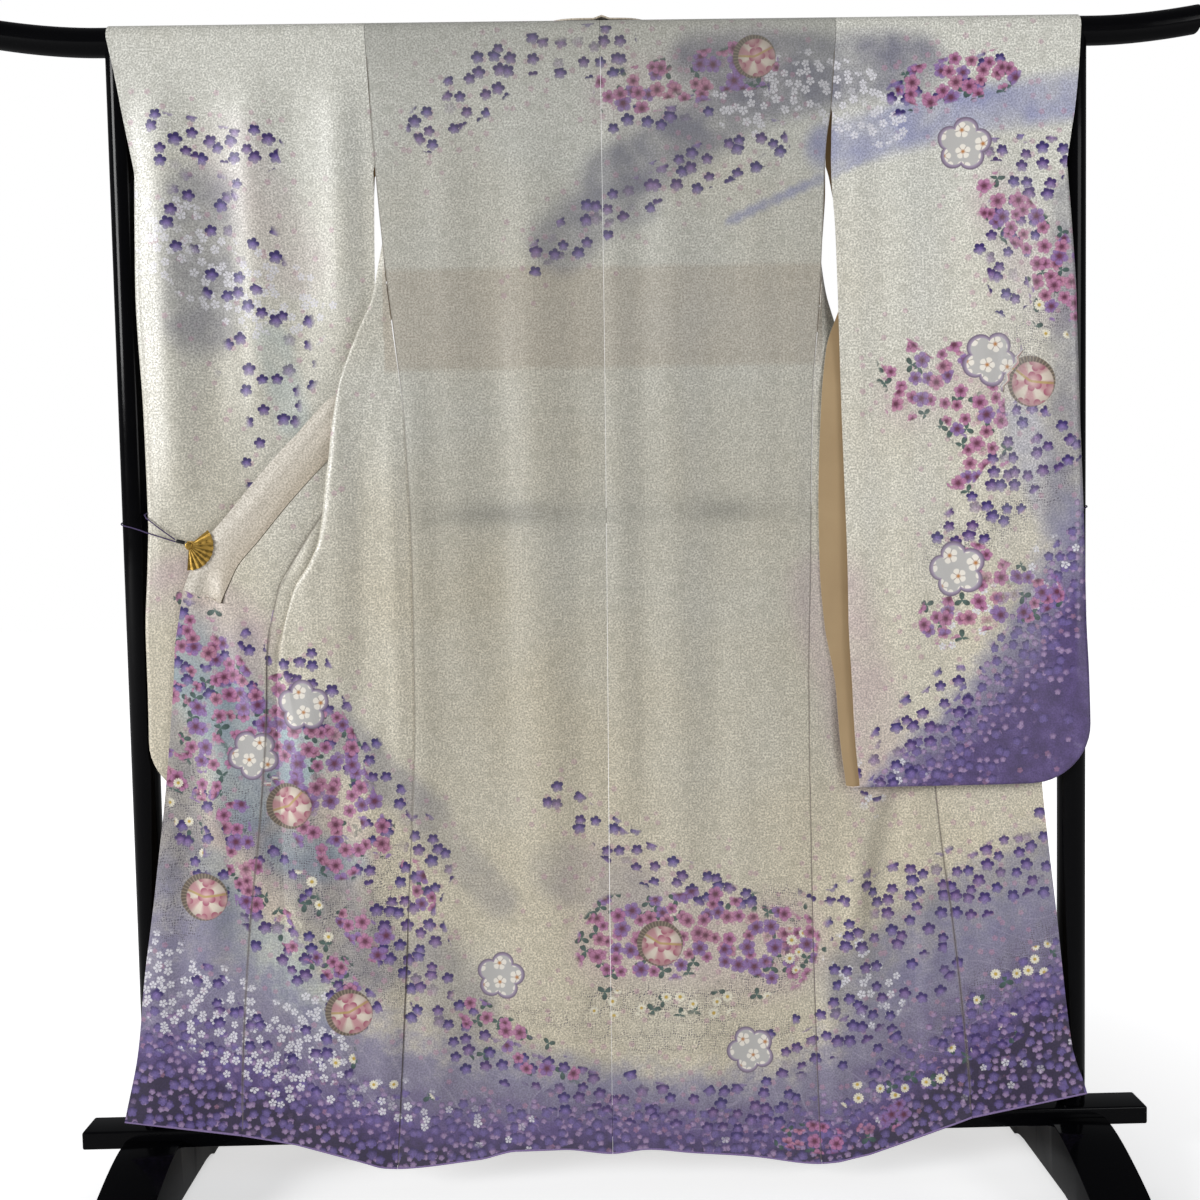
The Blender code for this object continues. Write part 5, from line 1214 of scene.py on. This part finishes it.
for side, word, edge in ((-1, "left", LEFT_EDGE), (1, "right", RIGHT_EDGE)):
    table = FRONTS[side]
    upper = levels_down(OVERLAP_TOP, 0.87, ROW_STEP)
    starts = [overlap_seam(table, side, upper)]
    ends = [on_collar_seam(table, side, upper)]
    low_end = on_collar_seam(table, side, np.array([0.858, COLLAR_END]))
    low_end[1, 2] -= SEAM_GAP
    corner = on_front_edge(edge, np.array([COLLAR_END + COLLAR_END_RISE - SEAM_GAP]))
    fan = np.linspace(0, 1, 5)[1:, None]
    ends.append(np.concatenate([low_end, low_end[1] + (corner[0] - low_end[1]) * fan]))
    starts.append(overlap_seam(table, side, np.linspace(0.846, 0.80, 6)))
    lower = levels_down(0.792, HEM_LEVEL, ROW_STEP)
    seam = overlap_seam(table, side, lower)
    seam = overlap_seam(table, side, height_at(lower, hem_at(seam[:, 0])))
    border = on_front_edge(edge, lower)
    starts.append(seam)
    ends.append(on_front_edge(edge, height_at(lower, hem_at(border[:, 0]))))
    start, end = np.concatenate(starts), np.concatenate(ends)
    rows = start[:, None] + (end - start)[:, None] * np.linspace(0, 1, 22)[None, :, None]

    def overlap_lift(x, z):
        line = read(table, "seam_x", z, 0.001)
        hang = np.clip((0.84 - z) / 0.08, 0, 1)
        return folded(FRONT_FOLDS[side], x, z) * hang + pull_lift(side, x, z) \
            - 0.0006 * np.exp(-((x - line) / 0.006) ** 2)

    piece = silk_piece("overlap_" + word, rows, lift=overlap_lift, seams=[rows[::6, 0]])
    roll = hem_roll("hem_roll_overlap_" + word, rows[-1])
    down = np.linspace(0.835, rows[-1, 0, 2] + ABOVE_HEM, 60)
    inside = overlap_seam(table, side, down) + np.array((-side * SEAM_GAP / 2, TURNED_IN, 0.0))
    turned = hem_roll("turned_in_overlap_seam_" + word, inside, TURNED_R)

# Sleeves: one length each, 34 cm wide and doubled over the shoulder to hang 105 cm, closed
# below the cuff and along the bottom with a rounded outer corner, open along the inner edge.
ARMHOLE_END = 1.43
NEAR_JOIN_END = {-1: 1.43, 1: 1.503}
CUFF_END = 1.421
SLEEVE_CORNER = 0.080
SLEEVE_ROUND = 0.0016
CORNER_STEPS = np.array([0.0, 0.002, 0.005, 0.009, 0.013, 0.019, 0.025, 0.033, 0.041, 0.050, 0.060, 0.070])
SLEEVE_COLUMNS = ("z", "near_in_x", "near_out_x", "near_in_y", "near_out_y",
                  "far_in_x", "far_out_x", "far_in_y", "far_out_y")
LEFT_SLEEVE = {
    "columns": SLEEVE_COLUMNS,
    "rows": (
        (575, -334, -634, -16.5, -24.5, -330, -634, -11, -20),
        (640, -331, -636, -17, -26.5, -328, -636, -9, -22),
        (720, -328, -635, -17, -27, -326, -635, -8.5, -22),
        (800, -325, -635, -17, -27, -324, -635, -8, -22),
        (900, -321, -629, -16.5, -27, -322, -629, -7.5, -22),
        (960, -318, -626, -16, -27, -321, -626, -7.5, -22),
        (1100, -315, -627, -11, -27, -320, -627, 0, -22),
        (1260, -313, -632, -10.5, -27, -319, -632, 8, -22),
        (1340, -311, -630.5, -16, -26.5, -317, -630.5, 10, -21.5),
        (1421, -309, -629, -20.5, -25, -312, -629, 10, -18),
        (1436, -309, -631, -21.3, -24, -311, -628, 10.5, -9),
        (1452, -309.5, -634, -21.3, -23, -309.5, -627, 12.5, 6),
        (1470, -310.5, -637.5, -21.2, -22.2, -310.5, -627, 14.2, 19),
        (1500, -312, -643, -21, -21.5, -312, -631, 16.5, 20.6),
        (1560, -314.5, -653, -20.5, -20.8, -314.5, -648, 19.2, 20.3),
        (1611, -317, -663, -20.21, -20.21, -317, -661, 20.21, 20.21),
    ),
}
RIGHT_SLEEVE = {
    "columns": SLEEVE_COLUMNS,
    "rows": (
        (575, 344, 667, -33, -27.5, 326, 667, -28, -23),
        (640, 338, 667, -34, -28.5, 318, 667, -27.5, -23.5),
        (720, 334, 665, -34, -28.5, 312, 665, -27.5, -23.5),
        (800, 330, 661, -34, -28.5, 298, 661, -27.5, -23.5),
        (880, 329, 659, -34, -28.5, 292, 659, -27.5, -23.5),
        (960, 327, 656.5, -33.5, -28.5, 291, 656.5, -27.5, -23.5),
        (1100, 323, 651, -32, -28.5, 296, 651, -27, -23.5),
        (1180, 321.5, 648.5, -30, -28.5, 305, 648.5, -21.5, -23.5),
        (1260, 320, 646, -28, -28, 330, 646, -8, -23.2),
        (1340, 318, 641, -26, -27, 328, 641, 4, -22),
        (1421, 314, 635, -22, -25.5, 317, 635, 10, -21),
        (1436, 314, 637, -21.5, -24.5, 314, 628.5, 12.5, -10),
        (1452, 314.5, 640, -21.2, -23.5, 313.5, 627, 14.5, 6),
        (1470, 315, 643, -21, -22.5, 315, 627, 15.7, 19),
        (1500, 316.5, 648, -20.8, -21.6, 316.5, 631, 17.5, 20.6),
        (1560, 319.5, 654, -20.5, -20.8, 319.5, 648, 19.6, 20.3),
        (1611, 324, 657, -20.21, -20.21, 323, 655, 20.21, 20.21),
    ),
}
LEFT_SLEEVE_FOLDS = (
    (-596, 1600, -584, 920, 27, 8.5), (-534, 1590, -530, 1050, 22, -2.6),
    (-470, 1600, -476, 1000, 26, 8), (-414, 1590, -410, 1080, 18, -2.4),
    (-354, 1600, -352, 1080, 24, 7.5), (-506, 1300, -512, 1040, 12, 1.6),
    (-612, 1000, -604, 600, 14, 2.6), (-540, 980, -548, 600, 18, 0.8),
    (-316, 1540, -322, 1080, 22, -4.5), (-700, 801, -480, 800, 7, -1),
)
RIGHT_SLEEVE_FOLDS = (
    (350, 1580, 348, 620, 16, 3.6), (416, 1600, 412, 640, 24, 5.6),
    (470, 1560, 474, 700, 18, -2), (532, 1600, 530, 640, 32, 8.5),
    (596, 1560, 602, 680, 18, -2.4), (646, 1590, 652, 640, 15, 5),
    (440, 900, 452, 590, 20, 2), (500, 860, 506, 590, 20, 1.6), (280, 803, 640, 799, 7, -1),
)


def sleeve_layer(table, layer, across, z, shrink):
    """One layer of a sleeve: its depth stays near the edge's value over the post's width."""
    turn = 1 if table is RIGHT_SLEEVE else -1
    inner, outer = plan_at(table, layer + "_in", z), plan_at(table, layer + "_out", z)
    outer[:, 0] -= turn * shrink
    sewn = back_point(turn, 1.0, z)[:, :2] if layer == "near" else front_side(FRONTS[turn], turn, z)
    joined = (z > (NEAR_JOIN_END[turn] if layer == "near" else ARMHOLE_END))[:, None]
    inner = np.where(joined, sewn + np.array((turn * SEAM_GAP, 0.0)), inner)
    x = inner[:, :1] + (outer - inner)[:, :1] * across
    edge = np.clip(1 - (np.abs(outer[:, :1]) + shrink[:, None] - np.abs(x) - 0.036) / 0.11, 0, 1)
    blend = edge * edge * (3 - 2 * edge)
    y = inner[:, 1:] + (outer - inner)[:, 1:] * blend
    return np.stack([x, y, z[:, None] + 0 * x], axis=-1)


for side, word, table, folds in ((-1, "left", LEFT_SLEEVE, LEFT_SLEEVE_FOLDS),
                                 (1, "right", RIGHT_SLEEVE, RIGHT_SLEEVE_FOLDS)):
    bottom = table["rows"][0][0] * 0.001
    heights = np.concatenate([bottom + CORNER_STEPS, np.linspace(bottom + SLEEVE_CORNER, CUFF_END, 96),
                              np.linspace(CUFF_END, ROD_Z, 26)[1:]])
    across = np.concatenate([np.linspace(0, 0.94, 41), np.linspace(0.94, 1.0, 6)[1:]])
    rise = np.clip(heights - bottom, 0, SLEEVE_CORNER)
    shrink = SLEEVE_CORNER - np.sqrt(SLEEVE_CORNER ** 2 - (SLEEVE_CORNER - rise) ** 2)
    near = sleeve_layer(table, "near", across, heights, shrink)
    far = sleeve_layer(table, "far", across, heights, shrink)
    rows, width = near.shape[:2]
    points = list(near.reshape(-1, 3)) + list(far.reshape(-1, 3))
    back_of = rows * width
    faces = grid_faces(rows, width)
    faces += [tuple(corner + back_of for corner in face) for face in faces]

    def bridge(row, column, push):
        points.append((near[row, column] + far[row, column]) / 2 + np.array(push))
        return len(points) - 1

    below = [bridge(0, k, (0, 0, -SLEEVE_ROUND)) for k in range(width)]
    for k in range(width - 1):
        for start in (0, back_of):
            faces.append((start + k, start + k + 1, below[k + 1], below[k]))
    closed = [row for row in range(rows) if heights[row] <= CUFF_END + 1e-6]
    outside = [below[-1]]
    for row in closed[1:]:
        lean = min(1.0, (heights[row] - bottom) / SLEEVE_CORNER)
        size = math.hypot(lean, lean - 1)
        push = SLEEVE_ROUND / size
        outside.append(bridge(row, width - 1, (side * lean * push, 0, (lean - 1) * push)))
    for row in closed[:-1]:
        for start in (0, back_of):
            one, two = start + row * width + width - 1, start + (row + 1) * width + width - 1
            faces.append((one, two, outside[row + 1], outside[row]))
    arcs = [[(rows - 1) * width + k for k in range(width)]]
    for step in range(1, 16):
        angle = -math.pi / 2 + math.pi * step / 16
        share = max(0.0, (angle - SHOULDER_SPLIT) / (math.pi / 2 - SHOULDER_SPLIT))
        x = near[-1, :, 0] + (far[-1, :, 0] - near[-1, :, 0]) * share
        arcs.append(list(range(len(points), len(points) + width)))
        points += list(over_rod(angle, WRAP_R, x))
    arcs.append([back_of + (rows - 1) * width + k for k in range(width)])
    for lower, upper in zip(arcs, arcs[1:]):
        for k in range(width - 1):
            faces.append((lower[k], lower[k + 1], upper[k + 1], upper[k]))

    def sleeve_lift(x, z):
        outer = read(table, "near_out_x", z, 0.001)
        edge = np.clip((np.abs(outer) - np.abs(x)) / 0.014, 0, 1)
        hang = np.clip((ROD_Z - z) / 0.08, 0, 1) * np.clip((z - bottom) / 0.05, 0, 1) * edge
        if side < 0:
            over_front = z - 0.87 - 1.28 * (x + 0.59)
            hang = hang * (0.12 + 0.88 * np.clip(over_front / 0.12, 0, 1))
        return folded(folds, x, z) * hang

    # the near layer shows the folds; the far layer lies flatter on the post
    shares = np.concatenate([np.ones(back_of), np.full(back_of, 0.3), np.zeros(len(points) - 2 * back_of)])
    piece = silk_piece("sleeve_" + word, points, faces, sleeve_lift, shares=shares,
                       dye=SLEEVE_DYE if side > 0 else None, painted_shade_weight=0.22 if side < 0 else 0.0)

# Collar: a doubled band of the same silk, 5.5 cm wide. The over-collar lies on the middle of
# it round the neck; below, the collar itself shows down to its squared ends.
BAND, BAND_WIDE = 0.0022, 0.055
TWIST_GAP = 0.0013
COLLAR_WRAP_R = WRAP_R + CLOTH / 2 + 2 * TOUCH_GAP + BAND / 2
BAND_COLUMNS = ("z", "out_x", "out_y", "out_z")
LEFT_BAND = {
    "columns": BAND_COLUMNS,
    "rows": ((846, -51, 0, 19.5), (870, -50, 0, 26), (895, -43, 0, 34), (930, -42, 0, 36),
             (980, -41, 0, 37), (1045, -40.5, 0, 37), (1080, -33, 0, 36), (1110, -21, 0, 24),
             (1140, -12, 2, 10), (1175, -5, 3.5, 2), (1209, 2, 6, -7), (1235, 8, 9, -14),
             (1262, 14, 9, -20), (1300, 22, 6, -24), (1350, 30, 3, -28), (1400, 39, 2.3, -30),
             (1450, 43.5, 1.8, -33), (1611, 43.5, 2.2, -33)),
}
RIGHT_BAND = {
    "columns": BAND_COLUMNS,
    "rows": ((846, 51, 0, 19.5), (870, 50, 0, 26), (895, 43, 0, 34), (930, 42, 0, 36),
             (980, 42, 0, 37), (1047, 40, 0, 36), (1080, 36, 1, 30), (1110, 28, 4, 20),
             (1140, 18, 9, 10), (1175, 8, 13, 0), (1209, -1, 14, -10), (1235, -8, 12, -18),
             (1262, -15, 8, -24), (1300, -21, 5, -24), (1350, -28, 3, -28), (1400, -40, 2.2, -31),
             (1450, -43.5, 1.8, -33), (1611, -43.5, 2.2, -33)),
}
OVER_COLLAR_END = 1.262
NECK_SIDE = 0.083
NECK_PEAK = 0.004
NECK_PEAK_X = 0.005
# Collar silk: the same figured silk undyed, folded double over its core, so that nothing shows
# through it; it has a painted highlight along the fold and painted shade towards the seam, and is pulled
# into soft creases
collar_silk, tree, shader = new_finish("rinzu_silk_folded_collar", 0.45, Sheen_Weight=0.2,
                                       Specular_IOR_Level=0.7)
place = add("UVMap", uv_map="cut")
figure = figured_ground(place)
age = add("TexNoise", place, None, 12.0, 2.0, **FLAT)
ground = add("MixRGB", age, "#b1aa9c", "#bdb5a6")
tone = add("MixRGB", figure, ground, "#efe8dc")
from_seam = add("SeparateXYZ", place).outputs[1]
# painted highlight along the fold, painted shade towards the seam
painted_light_across_band = add("MixRGB", add("MapRange", from_seam, 0.0, 0.046), "#d9d2c8", "#ffffff")
tone = add("MixRGB", 1.0, tone, painted_light_across_band, blend_type="MULTIPLY")
drawn_out = add("VectorMath MULTIPLY", place, (7.0, 38.0, 0.0))
creases = add("Bump", 0.8, 0.004, Height=add("TexNoise", drawn_out, None, 1.0, 1.0, **FLAT),
              Normal=add("Bump", 0.3, 0.00025, Height=figure))
fill(shader, Base_Color=tone, Roughness=add("MapRange", figure, 0.0, 1.0, 0.52, 0.36), Normal=creases)


def band_rows(band, front, z):
    """Rows across the collar band, from its seam to its free edge, at many heights."""
    out = np.stack([read(band, "out_" + axis, z, 0.001) for axis in "xyz"], axis=-1)
    place = np.concatenate([plan_at(front, "collar", z), z[:, None]], axis=-1)
    twist = np.clip((z - 1.10) / 0.04, 0, 1) * np.clip((1.36 - z) / 0.04, 0, 1)
    flat_out = out * (1.0, 1.0, 0.0)
    aside = flat_out / np.linalg.norm(flat_out, axis=-1, keepdims=True) * TWIST_GAP * twist[:, None]
    seam = place + out / np.linalg.norm(out, axis=-1, keepdims=True) * SEAM_GAP + aside
    return seam[:, None] + (place + out - seam)[:, None] * np.linspace(0, 1, 11)[None, :, None]


def collar_piece(node, rows, **more):
    """A length of the band, its cut measured along its seam."""
    run = np.concatenate([[0], np.cumsum(np.linalg.norm(np.diff(rows[:, 0], axis=0), axis=1))])
    place = np.stack([np.repeat(run, 11), np.tile(np.linspace(0, BAND_WIDE, 11), len(rows))], axis=-1)
    return silk_piece(node, rows, finishes=(collar_silk,), slot="collar_silk", wall=BAND - 0.0002,
                      places=lambda base: place, **more)


neck = []
for x in np.concatenate([np.linspace(-0.096, -0.012, 15), np.linspace(-0.008, 0.018, 11),
                         np.linspace(0.022, 0.096, 14)]):
    across = x / NECK_SIDE
    seam_angle = NECK_SEAM - 0.16 + math.radians(62) * abs(across) ** 2.4
    peak = NECK_PEAK * max(0.0, 1 - abs(x - NECK_PEAK_X) / 0.011)
    share = np.linspace(0, 1, 9)
    row = over_rod(seam_angle + (math.pi / 2 - seam_angle) * share, COLLAR_WRAP_R, x * (1 - 0.18 * share))
    row[:, 2] += peak * (1 - share) ** 2
    draw_in = 0.74 - 0.35 * max(0.0, abs(across) - 1)
    end = np.array((x * draw_in, COLLAR_WRAP_R, ROD_Z - 0.017 - 0.010 * across * across))
    neck.append(np.concatenate([row, [(row[-1] + end) / 2, end]]))
upper = levels_down(ROD_Z, OVER_COLLAR_END, ROW_STEP)
rows = np.concatenate([band_rows(LEFT_BAND, LEFT_FRONT, upper[::-1]), np.array(neck),
                       band_rows(RIGHT_BAND, RIGHT_FRONT, upper)])
collar_piece("over_collar", rows, outward=(0, 1, 0))
for side, word, band in ((-1, "left", LEFT_BAND), (1, "right", RIGHT_BAND)):
    lower = levels_down(OVER_COLLAR_END - 2 * SEAM_GAP, COLLAR_END, ROW_STEP)

    def collar_lift(x, z):
        return pull_lift(side, x, z) + 0.0007 * np.clip((0.88 - z) / 0.02, 0, 1)

    piece = collar_piece("collar_" + word, band_rows(band, FRONTS[side], lower), lift=collar_lift)

# Fan clips: two stamped brass fans, each with a round knob at its pivot and a jaw behind the
# collar; a short black ferrule holds the ends of a thin elastic loop that goes round the post.
FAN_R = 0.034
FAN_START = math.radians(38)
FAN_END = math.radians(-95)
FAN_WALL, FAN_WAVE = 0.0009, 0.0007
FAN_PLEATS = 9
FAN_RINGS = (0.003, 0.010, 0.018, 0.0255, 0.0262, 0.0305, FAN_R - 0.0006, FAN_R)
HUB_R = 0.0050
KNOB_RISE = 0.0022
JAW_REACH, JAW_WALL, JAW_WIDTH = 0.030, 0.001, 0.012
FERRULE_R = 0.0026
ELASTIC_R = 0.0009
LOOP_R = POST_R + 0.0018
LOOP_Z = 0.972
# Brass, stamped and softly polished: warm, a little uneven where fingers have dulled it
brass, tree, shader = new_finish("brass_stamped_softly_polished", 0.3, 1.0)
spot = add("TexCoord").outputs["Object"]
dull = add("TexNoise", spot, None, 160.0, 4.0)
tone = add("MixRGB", dull, "#8a6a2c", "#d3ad5c")
fill(shader, Base_Color=tone, Roughness=add("MapRange", dull, 0.3, 0.7, 0.22, 0.42))
# ABS, moulded black: smooth with a faint mould texture
plastic, tree, shader = new_finish("abs_moulded_black", 0.32)
spot = add("TexCoord").outputs["Object"]
grain = add("TexNoise", spot, None, 900.0, 2.0)
tone = add("MixRGB", grain, "#0c0c0e", "#1a1a1d")
fill(shader, Base_Color=tone)
# Covered elastic: polyester yarns plaited over rubber, dark purple, drawn coarse to show
covered, tree, shader = new_finish("elastic_covered_with_yarn", 0.7)
spot = add("TexCoord").outputs["Object"]
plait = add("TexWave", spot, 240.0, 6.0)
tone = add("MixRGB", plait, "#241a3a", "#4a3868")
fill(shader, Base_Color=tone)

for side, word, cloth, lead_in, arc, lead_out in (
        (-1, "left", -0.0347,
         ((0.612, -0.0335, 0.951), (0.6285, -0.0305, 0.964), (0.6322, -0.0262, 0.9685),
          (0.6322, -0.016, 0.971)), (180, -85),
         ((0.640, -0.0262, 0.948), (0.6285, -0.0305, 0.944))),
        (1, "right", -0.0085, ((0.612, -0.0105, 0.953), (0.6285, -0.0095, 0.9715)), (190, -100), ())):
    front = cloth - BAND / 2 - TOUCH_GAP - FAN_WAVE - 0.0011 / 2
    fan_points = []
    steps = 4 * FAN_PLEATS
    for row, radius in enumerate(FAN_RINGS):
        for step in range(steps + 1):
            angle = FAN_START + (FAN_END - FAN_START) * step / steps
            wave = -FAN_WAVE * math.cos(step * math.pi / 2) * radius / FAN_R
            scallop = 1 - (0.03 if row >= 6 else 0.0) * (1 - math.cos(step * math.pi / 2)) / 2
            fan_points.append((side * CLIP_X - side * math.cos(angle) * radius * scallop, front + wave,
                               CLIP_Z + math.sin(angle) * radius * scallop))
    mesh = bpy.data.meshes.new("brass_fan_" + word)
    mesh.from_pydata(fan_points, [], grid_faces(len(FAN_RINGS), steps + 1))
    fan = put("brass_fan_" + word, mesh)
    plate = fan.modifiers.new("plate", "SOLIDIFY")
    plate.thickness = FAN_WALL
    plate.offset = 0.0
    alone(fan)
    bpy.ops.object.modifier_apply(modifier="plate")
    settle(fan, "brass_fan_" + word, brass, "brass", "clip_fan_" + word)
    jaw_y = cloth + BAND / 2 + 2 * TOUCH_GAP + JAW_WALL / 2
    start_y, end_y = front - KNOB_RISE, jaw_y - JAW_WALL / 2 - TOUCH_GAP
    hub = blank("cylinder", vertices=32, radius=HUB_R, depth=end_y - start_y,
                location=(side * CLIP_X, (start_y + end_y) / 2, CLIP_Z), rotation=(math.pi / 2, 0, 0))
    edit(hub)
    choose(lambda m, e: abs(m.y - start_y) < 0.0001)
    bpy.ops.mesh.bevel(offset=0.0016, segments=5)
    settle(hub, "brass_knob_" + word, brass, "brass", "clip_hub_" + word)
    span = JAW_REACH + HUB_R
    jaw = blank("cube", (span, JAW_WALL, JAW_WIDTH), size=1,
                location=(side * (CLIP_X + HUB_R - span / 2), jaw_y, CLIP_Z))
    edit(jaw)
    choose(lambda m, e: abs(e.verts[0].co.y - e.verts[1].co.y) > 0.0005)
    bpy.ops.mesh.bevel(offset=0.003, segments=4)
    bpy.ops.mesh.select_all(action="SELECT")
    bpy.ops.mesh.bevel(offset=0.0002, segments=2)
    settle(jaw, "brass_jaw_" + word, brass, "brass", "clip_jaw_" + word)
    inner = Vector((side * (CLIP_X + HUB_R + 0.0014), cloth, CLIP_Z + 0.004))
    outer = inner + Vector((side * 0.011, 0, 0.003))
    ferrule = blank("cylinder", vertices=24, radius=FERRULE_R, depth=(outer - inner).length,
                    location=(inner + outer) / 2,
                    rotation=(outer - inner).to_track_quat("Z", "Y").to_euler())
    edit(ferrule)
    choose(lambda m, e: len(e.link_faces) == 2 and max(len(f.verts) for f in e.link_faces) > 4)
    bpy.ops.mesh.bevel(offset=0.0007, segments=3)
    settle(ferrule, "plastic_ferrule_" + word, plastic, "black_plastic", "ferrule_" + word)
    route = [outer + Vector((side * 0.0014, 0, 0.0013))]
    route += [Vector((side * x, y, z)) for x, y, z in lead_in]
    for step in range(17):
        angle = math.radians(arc[0] + (arc[1] - arc[0]) * step / 16)
        route.append(Vector((side * (POST_X + LOOP_R * math.cos(angle)), LOOP_R * math.sin(angle),
                             LOOP_Z - 0.020 * step / 16)))
    route += [Vector((side * x, y, z)) for x, y, z in lead_out]
    route.append(outer + Vector((side * 0.0014, 0, -0.0013)))
    line = bpy.data.curves.new("elastic_loop_" + word, "CURVE")
    line.dimensions = "3D"
    line.bevel_depth = ELASTIC_R
    line.bevel_resolution = 4
    line.use_fill_caps = True
    strand = line.splines.new("POLY")
    strand.points.add(len(route) - 1)
    for place, point in zip(strand.points, route):
        place.co = (*point, 1.0)
    loop = put("elastic_loop_" + word, line)
    line.materials.append(covered)
    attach(loop, "root")
    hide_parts("elastic_" + word)
